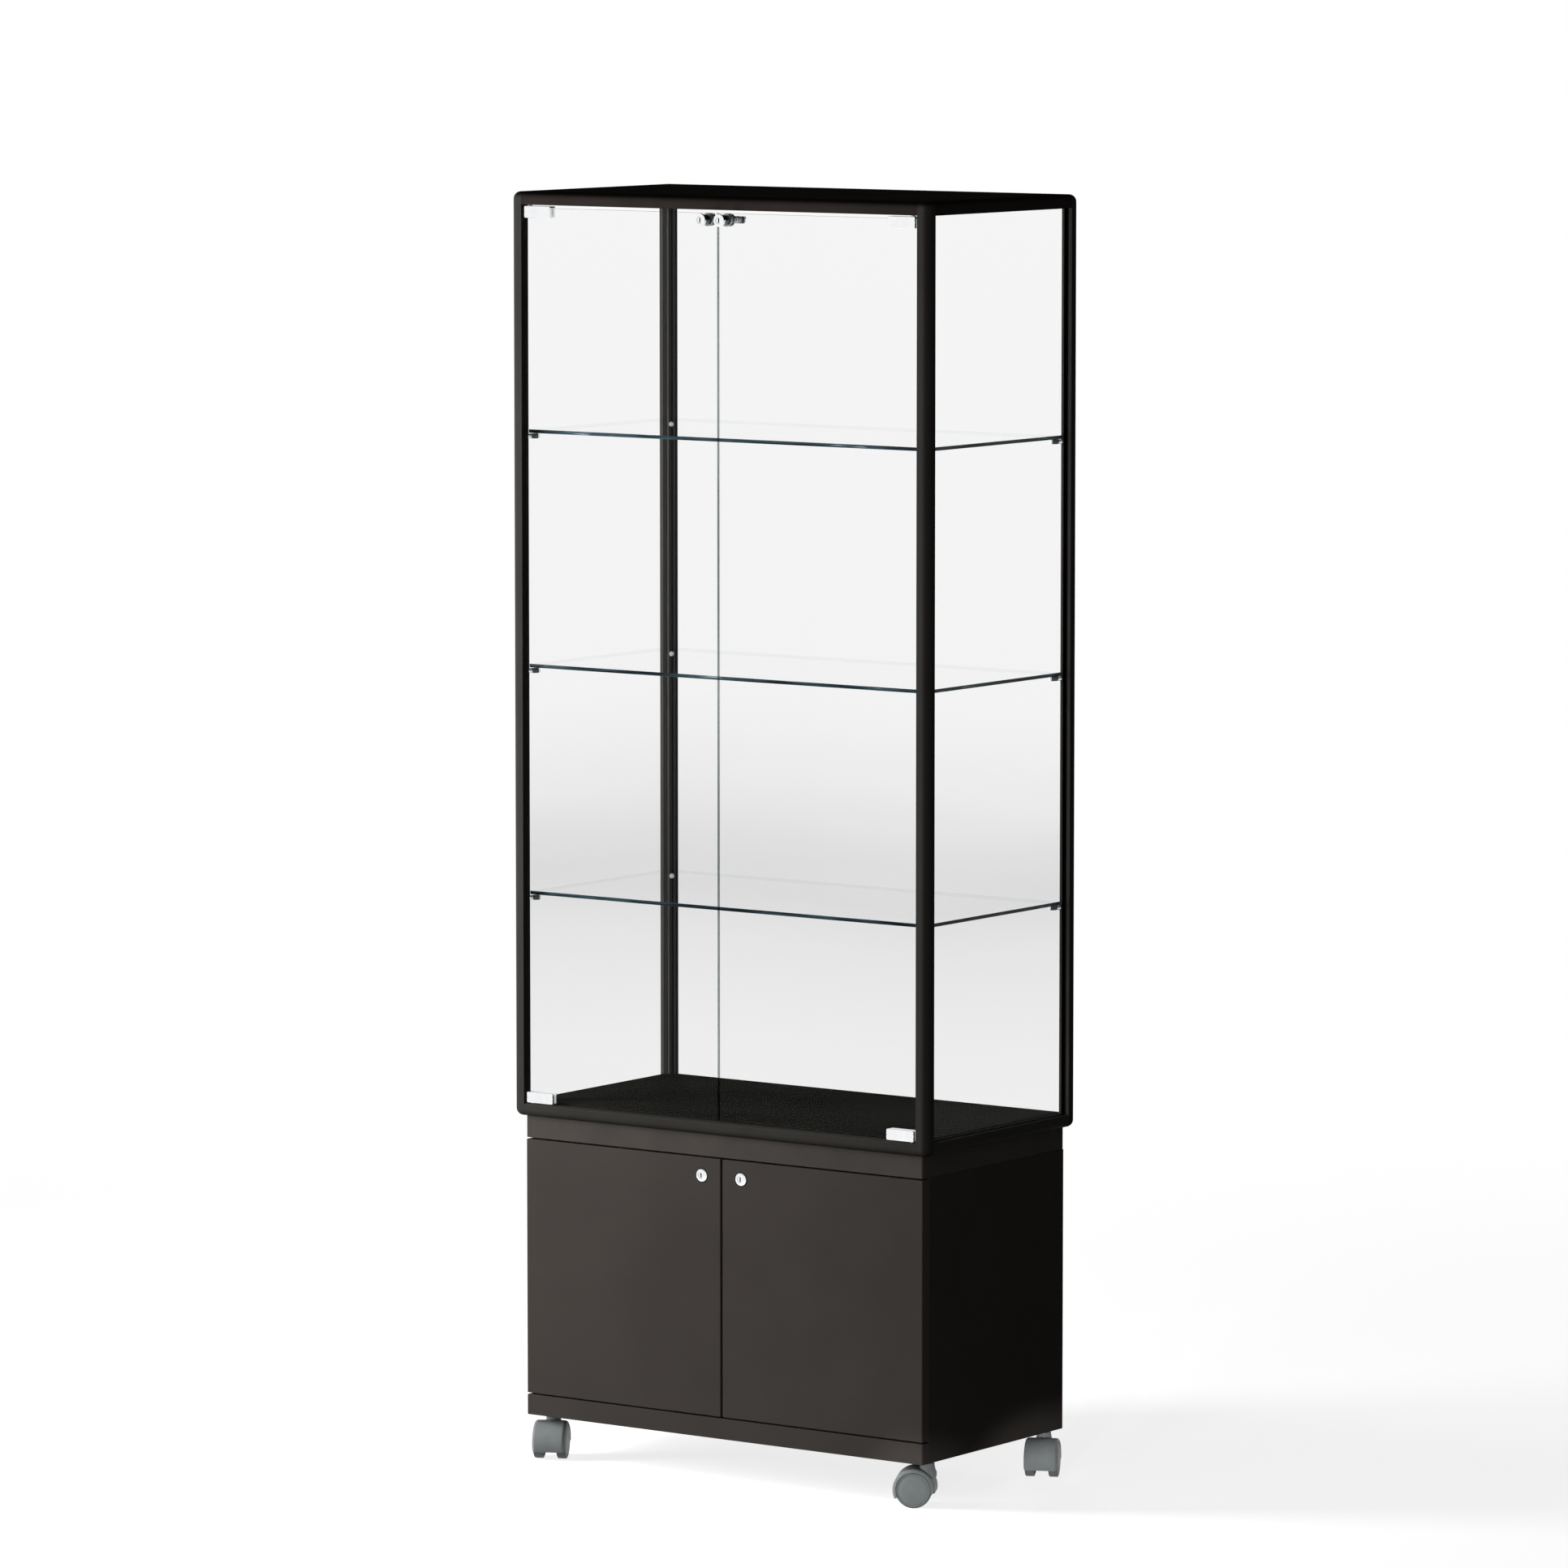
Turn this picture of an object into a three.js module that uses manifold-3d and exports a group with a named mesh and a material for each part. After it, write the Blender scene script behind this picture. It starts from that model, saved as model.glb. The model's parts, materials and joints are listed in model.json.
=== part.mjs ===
// Free-standing display case: a glass case in a square-profile frame, on a low cupboard that rolls on four
// twin-wheel casters. Two glass doors and two cupboard doors hang on the outer edges of the front.
// Millimetres, +Z up, front towards -Y. The origin is on the floor, under the middle of the whole object.

import * as THREE from "three";
import { mergeVertices } from "three/addons/utils/BufferGeometryUtils.js";
import Module from "manifold-3d";

const wasm = await Module();
wasm.setup();

// ---------------------------------------------------------------- driving dimensions

// Whole case
const CASE_WIDTH = 710; // X, over the posts
const CASE_DEPTH = 370; // Y, over the posts
const CASE_HEIGHT = 1800; // floor to the top of the frame
const CUPBOARD_HEIGHT = 429.4; // underside of the cupboard to the top of its top board

// Gaps between pieces
const SEAT_GAP = 0.2; // pieces that rest on, butt against or are screwed to each other
const PANEL_GAP = 0.3; // top panel and deck inside the frame
const PIN_GAP = 0.25; // shelf above its pins
const CUT_OVERRUN = 1; // how far a cutting block reaches past the face that it opens

// Frame profile
const PROFILE = 18.4; // width of the square profile of the posts and rails
const OUTER_ROUND = 10.6; // radius of the profile's outer edge
const POST_EDGE_ROUND = 1.5; // radius of a post's other outside edges
const POST_CHAMFER = 2.5; // inner corner of a post
const TOP_RAIL_EDGE_ROUND = 1.5; // lower outside edge of a top rail
const BASE_RAIL_EDGE_ROUND = 3; // upper outside edge of a base rail

// Glass
const GLASS = 5; // thickness of every pane and shelf
const GROOVE_DEPTH = 5; // of the groove that holds a fixed pane
const GROOVE_SIDE_CLEARANCE = 0.4; // each side of the pane
const GROOVE_END_CLEARANCE = 0.6; // pane edge to the bottom of its groove

// Top panel and deck, carried by lips on the side rails
const LIP_WIDTH = 8;
const TOP_LIP_THICKNESS = 4;
const BASE_LIP_THICKNESS = 2.7;
const TOP_PANEL_THICKNESS = 9;
const TOP_PANEL_RECESS = 0.6; // below the top of the frame
const DECK_THICKNESS = 18;

// Shelves and their pins
const SHELF_LEVELS = [292.9, 614.9, 945.9]; // underside of each shelf above the deck
const SHELF_SIDE_CLEARANCE = 2.3; // shelf to the side pane
const SHELF_BACK_CLEARANCE = 10.3; // shelf to the back pane, and the same reach forward
const PIN_DIAMETER = 7.5;
const PIN_LENGTH = 13.8; // out of the post's corner
const PIN_ROOT = 4; // inside the post

// Glass doors
const DOOR_SETBACK = 5; // pane behind the front of the frame
const DOOR_TOP_CLEARANCE = 4.3;
const DOOR_BOTTOM_CLEARANCE = 3;
const DOOR_SIDE_CLEARANCE = 3;
const DOOR_MEETING_GAP = 2; // between the two doors
const PIVOT_INSET = 10.6; // post to the doors' pivot axis
const PIVOT_PIN_DIAMETER = 5;
const PIVOT_PIN_REACH = 5.7; // out of the clamp
const PIVOT_HOLE_DIAMETER = 5.5;
const PIVOT_HOLE_DEPTH = 6;
const CLAMP_LENGTH = 45.3;
const CLAMP_HEIGHT = 15.4;
const CLAMP_THICKNESS = 12.5;
const CLAMP_CAP = 1.5; // past the edge of the glass
const CLAMP_EDGE_INSET = 1.3; // clamp behind the outer edge of the glass
const CLAMP_SLOT_CLEARANCE = 0.2; // each side of the glass
const CLAMP_ROUND = 2;

// Knob locks of the glass doors
const KNOB_AXIS_X = 16; // from the middle of the case
const KNOB_AXIS_DROP = 9.3; // below the upper edge of the glass
const KNOB_REACH = 20.5; // in front of the glass
const KNOB_FACE_DIAMETER = 17.5;
const KNOB_FACE_THICKNESS = 4;
const KNOB_NECK_DIAMETER = 14;
const KNOB_ROSETTE_DIAMETER = 18;
const KNOB_ROSETTE_THICKNESS = 3;
const KNOB_BARREL_DIAMETER = 12;
const KNOB_HOLE_CLEARANCE = 0.3; // radial, barrel in the glass
const KNOB_NUT_DIAMETER = 18;
const KNOB_NUT_THICKNESS = 4;
const KNOB_BARREL_BACK = 8; // barrel behind the glass
const KNOB_CAM_LENGTH = 20.5; // from the lock's axis
const KNOB_CAM_WIDTH = 9;
const KNOB_CAM_GAP = 0.4; // cam behind the top front rail

// Lock plugs, the same in all four locks
const PLUG_DIAMETER = 7.6;
const PLUG_HEAD_DIAMETER = 10;
const PLUG_HEAD_THICKNESS = 2;
const PLUG_RECESS = 0.3; // head behind the lock's face
const PLUG_CLEARANCE = 0.2; // radial, in its bore
const KEYWAY_WIDTH = 1.4;
const KEYWAY_HEIGHT = 6;
const KEYWAY_DEPTH = 3;
const CAM_THICKNESS = 2.5;

// Cupboard
const CUPBOARD_SIDE_INSET = 13.7; // cupboard inside the sides of the frame
const CUPBOARD_FRONT_INSET = 11.5;
const CUPBOARD_BACK_INSET = 10.8;
const TOP_BOARD_THICKNESS = 31.4;
const BOARD = 18; // side boards, bottom board, fascia and doors
const BACK_BOARD = 6;
const FASCIA_HEIGHT = 29;
const SEAM = 2.5; // gaps round the cupboard doors
const DOOR_BACK_GAP = 0.7; // cupboard door in front of the boards behind it
const BOARD_ROUND = 2; // front upright edges of doors and fascia
const TOP_BOARD_ROUND = 3; // upright edges of the top board

// Cupboard hinges and locks
const HINGE_INSET = 62; // hinge axis height from a door's lower and upper edge
const HINGE_PLATE_LENGTH = 44;
const HINGE_PLATE_HEIGHT = 34;
const HINGE_PLATE_THICKNESS = 3;
const HINGE_ARM_REACH = 12; // arm inward from the side board
const HINGE_ARM_HEIGHT = 15;
const HINGE_ARM_LENGTH = 52;
const CAMLOCK_AXIS_X = 33.7;
const CAMLOCK_AXIS_DROP = 25; // below the upper edge of the door
const CAMLOCK_FACE_DIAMETER = 18.6;
const CAMLOCK_FACE_THICKNESS = 2;
const CAMLOCK_BARREL_DIAMETER = 14;
const CAMLOCK_HOLE_CLEARANCE = 0.3;
const CAMLOCK_CLIP_DIAMETER = 20;
const CAMLOCK_CLIP_THICKNESS = 1.6;
const CAMLOCK_CAM_LENGTH = 24;
const CAMLOCK_CAM_WIDTH = 12;
const CAMLOCK_CAM_GAP = 0.5; // cam behind the barrel and behind the strike plate
const STRIKE_LENGTH = 110;
const STRIKE_DROP = 13; // below the top board
const STRIKE_DEPTH = 22;
const STRIKE_THICKNESS = 1.4;

// Casters
const WHEEL_RADIUS = 25; // centre to the middle of a tread facet
const WHEEL_SIDES = 24;
const WHEEL_GAP = 21; // between the two wheels
const TREAD_WIDTH = 12.4;
const TREAD_ROUND = 1.2;
const DISC_RADIUS = 22.5;
const DISC_CROWN_RADIUS = 13.5; // flat middle of the domed disc
const DISC_DOME = 1.2;
const AXLE_DIAMETER = 6;
const AXLE_CLEARANCE = 0.25; // radial
const CASTER_TRAIL = 17; // swivel axis to wheel axle
const HOOD_CLEARANCE = 2; // hood over the treads
const HOOD_THICKNESS = 2.5;
const HOOD_WIDTH = 47;
const HOOD_FLOOR_GAP = 12.5; // hood above the floor behind the wheels
const HOOD_FRONT_GAP = 21; // hood above the floor in front of the wheels
const WEB_CLEARANCE = 0.3; // web between the wheels, each side
const BOSS_DIAMETER = 20;
const STEM_FLANGE_DIAMETER = 20;
const STEM_FLANGE_THICKNESS = 3;
const STEM_DIAMETER = 8;
const STEM_CLEARANCE = 0.25; // radial
const STEM_LENGTH = 20; // below the flange
const STEM_END_CLEARANCE = 0.5;
const BOSS_GAP = 0.4; // boss below the stem's flange
const NECK_HEIGHT = 9.5; // hood to the underside of the cupboard
const CASTER_SIDE_INSET = 18; // swivel axis inside the cupboard's sides
const CASTER_END_INSET = 20; // swivel axis behind the front of its boards, and before its back

// Where each caster's wheels happen to trail while the case stands, in degrees from +X
const FRONT_LEFT_TRAIL = -63.5;
const FRONT_RIGHT_TRAIL = -151.5;
const BACK_RIGHT_TRAIL = -63.5;
const BACK_LEFT_TRAIL = -116.5;

// ---------------------------------------------------------------- derived planes

const HOOD_INNER_RADIUS = WHEEL_RADIUS + HOOD_CLEARANCE;
const HOOD_OUTER_RADIUS = HOOD_INNER_RADIUS + HOOD_THICKNESS;

// Floor to the cupboard's underside
const FLOOR_CLEARANCE = WHEEL_RADIUS + HOOD_OUTER_RADIUS + NECK_HEIGHT;

const HALF_WIDTH = CASE_WIDTH / 2;
const HALF_DEPTH = CASE_DEPTH / 2;
const INNER_X = HALF_WIDTH - PROFILE;
const INNER_Y = HALF_DEPTH - PROFILE;
const FRAME_BOTTOM = FLOOR_CLEARANCE + CUPBOARD_HEIGHT + SEAT_GAP;
const BASE_RAIL_TOP = FRAME_BOTTOM + PROFILE;
const TOP_RAIL_BOTTOM = CASE_HEIGHT - PROFILE;

const GROOVE_NEAR = (PROFILE - GLASS) / 2 - GROOVE_SIDE_CLEARANCE;
const GROOVE_FAR = (PROFILE + GLASS) / 2 + GROOVE_SIDE_CLEARANCE;
const PANE_ENGAGEMENT = GROOVE_DEPTH - GROOVE_END_CLEARANCE;
const PANE_OFFSET = (PROFILE - GLASS) / 2; // outside of the frame to the outer face of a pane

const TOP_PANEL_TOP = CASE_HEIGHT - TOP_PANEL_RECESS;
const TOP_PANEL_BOTTOM = TOP_PANEL_TOP - TOP_PANEL_THICKNESS;
const DECK_BOTTOM = FRAME_BOTTOM + BASE_LIP_THICKNESS + PANEL_GAP;
const DECK_TOP = DECK_BOTTOM + DECK_THICKNESS;

const DOOR_FRONT_Y = -HALF_DEPTH + DOOR_SETBACK;
const DOOR_BACK_Y = DOOR_FRONT_Y + GLASS;
const DOOR_MIDDLE_Y = (DOOR_FRONT_Y + DOOR_BACK_Y) / 2;
const DOOR_TOP = TOP_RAIL_BOTTOM - DOOR_TOP_CLEARANCE;
const DOOR_BOTTOM = BASE_RAIL_TOP + DOOR_BOTTOM_CLEARANCE;
const DOOR_OUTER_X = INNER_X - DOOR_SIDE_CLEARANCE;
const PIVOT_X = INNER_X - PIVOT_INSET;
const KNOB_AXIS_Z = DOOR_TOP - KNOB_AXIS_DROP;

const CUPBOARD_X = HALF_WIDTH - CUPBOARD_SIDE_INSET;
const CUPBOARD_FRONT = -HALF_DEPTH + CUPBOARD_FRONT_INSET;
const CUPBOARD_BACK = HALF_DEPTH - CUPBOARD_BACK_INSET;
const CUPBOARD_TOP = FLOOR_CLEARANCE + CUPBOARD_HEIGHT;
const TOP_BOARD_BOTTOM = CUPBOARD_TOP - TOP_BOARD_THICKNESS;
const BOARDS_FRONT = CUPBOARD_FRONT + BOARD + SEAT_GAP; // front edges of the side and bottom boards
const BOARD_INNER_X = CUPBOARD_X - BOARD;
const LEAF_BACK = BOARDS_FRONT - DOOR_BACK_GAP;
const LEAF_BOTTOM = FLOOR_CLEARANCE + FASCIA_HEIGHT + SEAM;
const LEAF_TOP = TOP_BOARD_BOTTOM - SEAM;
const CAMLOCK_AXIS_Z = LEAF_TOP - CAMLOCK_AXIS_DROP;
const STRIKE_FRONT = BOARDS_FRONT + SEAT_GAP;

const AXLE_HEIGHT = WHEEL_RADIUS;
const BOSS_TOP = FLOOR_CLEARANCE - SEAT_GAP - STEM_FLANGE_THICKNESS - BOSS_GAP;
const CASTER_X = CUPBOARD_X - CASTER_SIDE_INSET;
const CASTER_FRONT_Y = BOARDS_FRONT + CASTER_END_INSET;
const CASTER_BACK_Y = CUPBOARD_BACK - CASTER_END_INSET;

// The knobs stand out in front of the frame, so the case lies half of that behind the origin.
const CASE_SHIFT_Y = (KNOB_REACH - DOOR_SETBACK) / 2;

// Sides of the plan
const LEFT = -1;
const RIGHT = 1;
const FRONT = -1;
const BACK = 1;
const LOWER = -1;
const UPPER = 1;

// Facets of round shapes
const EDGE_STEPS = 2;
const OUTER_ROUND_STEPS = 5;
const SMALL_SIDES = 12;
const ROUND_SIDES = 20;
const HOOD_STEPS = 18;

// ---------------------------------------------------------------- materials

function finish(color, roughness, metalness) {
  return new THREE.MeshStandardMaterial({ color, roughness, metalness });
}

const BLACK_ALUMINIUM = finish(0x2b2827, 0.45, 0.35);
const BLACK_BOARD = finish(0x3f3b38, 0.6, 0);
const DARK_PANEL = finish(0x1a1918, 0.7, 0);
const CLEAR_GLASS = finish(0xd5e6e2, 0.05, 0);
const CHROME = finish(0xd9dcde, 0.15, 1);
const STEEL = finish(0x9ea2a5, 0.35, 1);
const GREY_PLASTIC = finish(0x73797b, 0.5, 0);

// ---------------------------------------------------------------- solids

const X_AXIS = new THREE.Vector3(1, 0, 0);
const Y_AXIS = new THREE.Vector3(0, 1, 0);
const Z_AXIS = new THREE.Vector3(0, 0, 1);
const BACKWARD = new THREE.Vector3(0, -1, 0);

// A closed geometry as a solid, with its shared vertices merged and its collapsed triangles dropped.
function solidOf(geometry) {
  geometry.deleteAttribute("normal");
  geometry.deleteAttribute("uv");
  const merged = mergeVertices(geometry);
  const index = merged.getIndex().array;
  const triangles = [];
  for (let i = 0; i < index.length; i += 3) {
    const [a, b, c] = [index[i], index[i + 1], index[i + 2]];
    if (a !== b && b !== c && c !== a) triangles.push(a, b, c);
  }
  return new wasm.Manifold(new wasm.Mesh({
    numProp: 3,
    vertProperties: new Float32Array(merged.getAttribute("position").array),
    triVerts: new Uint32Array(triangles),
  }));
}

function geometryOf(solid) {
  const mesh = solid.getMesh();
  const geometry = new THREE.BufferGeometry();
  geometry.setAttribute("position", new THREE.BufferAttribute(mesh.vertProperties, 3));
  geometry.setIndex(new THREE.BufferAttribute(mesh.triVerts, 1));
  geometry.computeVertexNormals();
  return geometry;
}

// An upright box between two values on each axis, given in either order.
function block([x0, x1], [y0, y1], [z0, z1]) {
  const geometry = new THREE.BoxGeometry(Math.abs(x1 - x0), Math.abs(y1 - y0), Math.abs(z1 - z0));
  geometry.translate((x0 + x1) / 2, (y0 + y1) / 2, (z0 + z1) / 2);
  return solidOf(geometry);
}

// A right-angled outline. A corner is [u, v], or [u, v, radius, steps] where it is rounded;
// one step makes it a chamfer.
function outline(corners) {
  const points = [];
  corners.forEach(([u, v, radius = 0, steps = EDGE_STEPS], i) => {
    const corner = new THREE.Vector2(u, v);
    if (radius === 0) {
      points.push(corner);
      return;
    }
    const before = corners[(i + corners.length - 1) % corners.length];
    const after = corners[(i + 1) % corners.length];
    const back = new THREE.Vector2(before[0] - u, before[1] - v).setLength(radius);
    const ahead = new THREE.Vector2(after[0] - u, after[1] - v).setLength(radius);
    const centre = corner.clone().add(back).add(ahead);
    for (let step = 0; step <= steps; step += 1) {
      const angle = (step / steps) * (Math.PI / 2);
      const point = centre.clone();
      point.addScaledVector(ahead, -Math.cos(angle));
      point.addScaledVector(back, -Math.sin(angle));
      points.push(point);
    }
  });
  return new THREE.Shape(points);
}

// A shape pushed along an axis. The shape lies in (Y, Z) for "x", in (X, Z) for "y" and in (X, Y) for "z".
function prism(shape, axis, from, to) {
  const geometry = new THREE.ExtrudeGeometry(shape, { depth: to - from, bevelEnabled: false });
  const place = new THREE.Matrix4();
  if (axis === "x") place.makeBasis(Y_AXIS, Z_AXIS, X_AXIS).setPosition(from, 0, 0);
  if (axis === "y") place.makeBasis(X_AXIS, Z_AXIS, BACKWARD).setPosition(0, to, 0);
  if (axis === "z") place.setPosition(0, 0, from);
  geometry.applyMatrix4(place);
  return solidOf(geometry);
}

// A solid turned about an axis through the point (a, b): (X, Z) for "y" and (X, Y) for "z".
// The profile holds [radius, position along the axis], from the lower end to the upper.
function turned(profile, axis, [a, b], sides) {
  const points = profile.map(([radius, along]) => new THREE.Vector2(radius, along));
  const geometry = new THREE.LatheGeometry(points, sides);
  if (axis === "y") geometry.translate(a, 0, b);
  if (axis === "z") geometry.rotateX(Math.PI / 2).translate(a, b, 0);
  return solidOf(geometry);
}

function rod(axis, centre, diameter, from, to, sides = SMALL_SIDES) {
  const radius = diameter / 2;
  return turned([[0, from], [radius, from], [radius, to], [0, to]], axis, centre, sides);
}

// A turned solid of plain steps, each [diameter, from, to] along the axis.
function stepped(steps, axis, centre, sides) {
  const profile = [[0, steps[0][1]]];
  for (const [diameter, from, to] of steps) profile.push([diameter / 2, from], [diameter / 2, to]);
  profile.push([0, steps[steps.length - 1][2]]);
  return turned(profile, axis, centre, sides);
}

// ---------------------------------------------------------------- frame

// Outline corners of a rail: u runs inward from the frame's side, v from its top or underside.
function railCorners({ edgeRound, grooved, lip }) {
  const corners = [[0, 0, OUTER_ROUND, OUTER_ROUND_STEPS]];
  if (!lip) corners.push([PROFILE, 0]);
  if (lip && lip.from > 0) corners.push([PROFILE, 0], [PROFILE, lip.from]);
  if (lip) corners.push([PROFILE + LIP_WIDTH, lip.from], [PROFILE + LIP_WIDTH, lip.to], [PROFILE, lip.to]);
  corners.push([PROFILE, PROFILE]);
  if (grooved) {
    const grooveFloor = PROFILE - GROOVE_DEPTH;
    corners.push([GROOVE_FAR, PROFILE], [GROOVE_FAR, grooveFloor]);
    corners.push([GROOVE_NEAR, grooveFloor], [GROOVE_NEAR, PROFILE]);
  }
  corners.push([0, PROFILE, edgeRound]);
  return corners;
}

function topRailCorners(grooved, withLip) {
  const lipFrom = CASE_HEIGHT - TOP_PANEL_BOTTOM + PANEL_GAP;
  const lip = withLip && { from: lipFrom, to: lipFrom + TOP_LIP_THICKNESS };
  return railCorners({ edgeRound: TOP_RAIL_EDGE_ROUND, grooved, lip });
}

function baseRailCorners(grooved, withLip) {
  const lip = withLip && { from: 0, to: BASE_LIP_THICKNESS };
  return railCorners({ edgeRound: BASE_RAIL_EDGE_ROUND, grooved, lip });
}

// Puts rail corners in the frame: half is half of the case across the rail, side its sign, and level UPPER
// for a top rail or LOWER for a base rail.
function placedOutline(corners, side, half, level) {
  return outline(corners.map(([u, v, ...round]) => {
    const height = level === UPPER ? CASE_HEIGHT - v : FRAME_BOTTOM + v;
    return [side * (half - u), height, ...round];
  }));
}

function sideRail(side, level) {
  const corners = level === UPPER ? topRailCorners(true, true) : baseRailCorners(true, true);
  const reach = INNER_Y - SEAT_GAP;
  return prism(placedOutline(corners, side, HALF_WIDTH, level), "y", -reach, reach);
}

function backRail(level) {
  const corners = level === UPPER ? topRailCorners(true, false) : baseRailCorners(true, false);
  const reach = INNER_X - SEAT_GAP;
  return prism(placedOutline(corners, BACK, HALF_DEPTH, level), "x", -reach, reach);
}

// The front rails hold the doors' pivot pins in blind holes.
function frontRail(level) {
  const corners = level === UPPER ? topRailCorners(false, false) : baseRailCorners(false, false);
  const reach = INNER_X - SEAT_GAP;
  const face = level === UPPER ? TOP_RAIL_BOTTOM : BASE_RAIL_TOP;
  const ends = [face - level * CUT_OVERRUN, face + level * PIVOT_HOLE_DEPTH].sort((a, b) => a - b);
  let rail = prism(placedOutline(corners, FRONT, HALF_DEPTH, level), "x", -reach, reach);
  for (const side of [LEFT, RIGHT]) {
    rail = rail.subtract(rod("z", [side * PIVOT_X, DOOR_MIDDLE_Y], PIVOT_HOLE_DIAMETER, ...ends));
  }
  return rail;
}

function shelfPin(sideX, sideY, shelfUnderside) {
  const length = PIN_ROOT + PIN_LENGTH;
  const middle = (PIN_LENGTH - PIN_ROOT) / 2 / Math.SQRT2;
  const geometry = new THREE.CylinderGeometry(PIN_DIAMETER / 2, PIN_DIAMETER / 2, length, SMALL_SIDES);
  geometry.rotateZ(Math.PI / 2);
  geometry.rotateZ(Math.atan2(-sideY, -sideX));
  const height = shelfUnderside - PIN_GAP - PIN_DIAMETER / 2;
  geometry.translate(sideX * (INNER_X - middle), sideY * (INNER_Y - middle), height);
  return solidOf(geometry);
}

// A corner post. Its ends carry the rails' rounding over the corner, and its grooves take the panes.
function post(sideX, sideY) {
  const round = [OUTER_ROUND, OUTER_ROUND_STEPS];
  const across = sideX === RIGHT ? [INNER_X, HALF_WIDTH] : [-HALF_WIDTH, -INNER_X];
  const along = sideY === BACK ? [INNER_Y, HALF_DEPTH] : [-HALF_DEPTH, -INNER_Y];
  const plan = outline([
    [sideX * HALF_WIDTH, sideY * HALF_DEPTH, ...round],
    [sideX * INNER_X, sideY * HALF_DEPTH, POST_EDGE_ROUND],
    [sideX * INNER_X, sideY * INNER_Y, POST_CHAMFER, 1],
    [sideX * HALF_WIDTH, sideY * INNER_Y, POST_EDGE_ROUND],
  ]);
  const endView = (outer, inner) => outline([
    [outer, FRAME_BOTTOM, ...round],
    [outer, CASE_HEIGHT, ...round],
    [inner, CASE_HEIGHT],
    [inner, FRAME_BOTTOM],
  ]);
  let solid = prism(plan, "z", FRAME_BOTTOM, CASE_HEIGHT);
  solid = solid.intersect(prism(endView(sideY * HALF_DEPTH, sideY * INNER_Y), "x", ...across));
  solid = solid.intersect(prism(endView(sideX * HALF_WIDTH, sideX * INNER_X), "y", ...along));

  const grooveEnds = [BASE_RAIL_TOP - GROOVE_DEPTH, TOP_RAIL_BOTTOM + GROOVE_DEPTH];
  solid = solid.subtract(block(
    [sideX * (HALF_WIDTH - GROOVE_NEAR), sideX * (HALF_WIDTH - GROOVE_FAR)],
    [sideY * (INNER_Y - CUT_OVERRUN), sideY * (INNER_Y + GROOVE_DEPTH)],
    grooveEnds,
  ));
  if (sideY === BACK) {
    solid = solid.subtract(block(
      [sideX * (INNER_X - CUT_OVERRUN), sideX * (INNER_X + GROOVE_DEPTH)],
      [HALF_DEPTH - GROOVE_NEAR, HALF_DEPTH - GROOVE_FAR],
      grooveEnds,
    ));
  }
  for (const level of SHELF_LEVELS) solid = solid.add(shelfPin(sideX, sideY, DECK_TOP + level));
  return solid;
}

// ---------------------------------------------------------------- panels, fixed glass and shelves

function panel(bottom, top) {
  const reachX = INNER_X - PANEL_GAP;
  const reachY = INNER_Y - PANEL_GAP;
  return block([-reachX, reachX], [-reachY, reachY], [bottom, top]);
}

function paneHeights() {
  return [BASE_RAIL_TOP - PANE_ENGAGEMENT, TOP_RAIL_BOTTOM + PANE_ENGAGEMENT];
}

function sidePane(side) {
  const outer = side * (HALF_WIDTH - PANE_OFFSET);
  const reach = INNER_Y + PANE_ENGAGEMENT;
  return block([outer, outer - side * GLASS], [-reach, reach], paneHeights());
}

function backPane() {
  const outer = HALF_DEPTH - PANE_OFFSET;
  const reach = INNER_X + PANE_ENGAGEMENT;
  return block([-reach, reach], [outer - GLASS, outer], paneHeights());
}

function shelf(level) {
  const reachX = HALF_WIDTH - PANE_OFFSET - GLASS - SHELF_SIDE_CLEARANCE;
  const reachY = HALF_DEPTH - PANE_OFFSET - GLASS - SHELF_BACK_CLEARANCE;
  const underside = DECK_TOP + level;
  return block([-reachX, reachX], [-reachY, reachY], [underside, underside + GLASS]);
}

// ---------------------------------------------------------------- locks

// A lock's body: the steps of its outside, with a stepped bore for the plug.
function lockBody(steps, x, z) {
  const face = steps[0][1];
  const end = steps[steps.length - 1][2];
  const counterbore = face + PLUG_RECESS + PLUG_HEAD_THICKNESS + SEAT_GAP;
  const bore = stepped([
    [PLUG_HEAD_DIAMETER + 2 * PLUG_CLEARANCE, face - CUT_OVERRUN, counterbore],
    [PLUG_DIAMETER + 2 * PLUG_CLEARANCE, counterbore, end + CUT_OVERRUN],
  ], "y", [x, z], ROUND_SIDES);
  return stepped(steps, "y", [x, z], ROUND_SIDES).subtract(bore);
}

// The plug with its cam, which lies level and points to the door's hinge side: unlocked.
function lockPlug({ side, x, z, face, camFront, camLength, camWidth }) {
  const front = face + PLUG_RECESS;
  const camBack = camFront + CAM_THICKNESS;
  const headBack = front + PLUG_HEAD_THICKNESS;
  const plug = stepped([
    [PLUG_HEAD_DIAMETER, front, headBack],
    [PLUG_DIAMETER, headBack, camBack],
  ], "y", [x, z], ROUND_SIDES);
  const half = camWidth / 2;
  const tip = x + side * camLength;
  const heel = x - side * half;
  const cam = prism(outline([
    [heel, z - half, half / 2],
    [tip, z - half, half / 2],
    [tip, z + half, half / 2],
    [heel, z + half, half / 2],
  ]), "y", camFront, camBack);
  const keyway = block(
    [x - KEYWAY_WIDTH / 2, x + KEYWAY_WIDTH / 2],
    [front - CUT_OVERRUN, front + KEYWAY_DEPTH],
    [z - KEYWAY_HEIGHT / 2, z + KEYWAY_HEIGHT / 2],
  );
  return plug.add(cam).subtract(keyway);
}

const KNOB_FACE_Y = DOOR_FRONT_Y - KNOB_REACH;
const KNOB_CAM_FRONT = -INNER_Y + KNOB_CAM_GAP;

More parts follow.
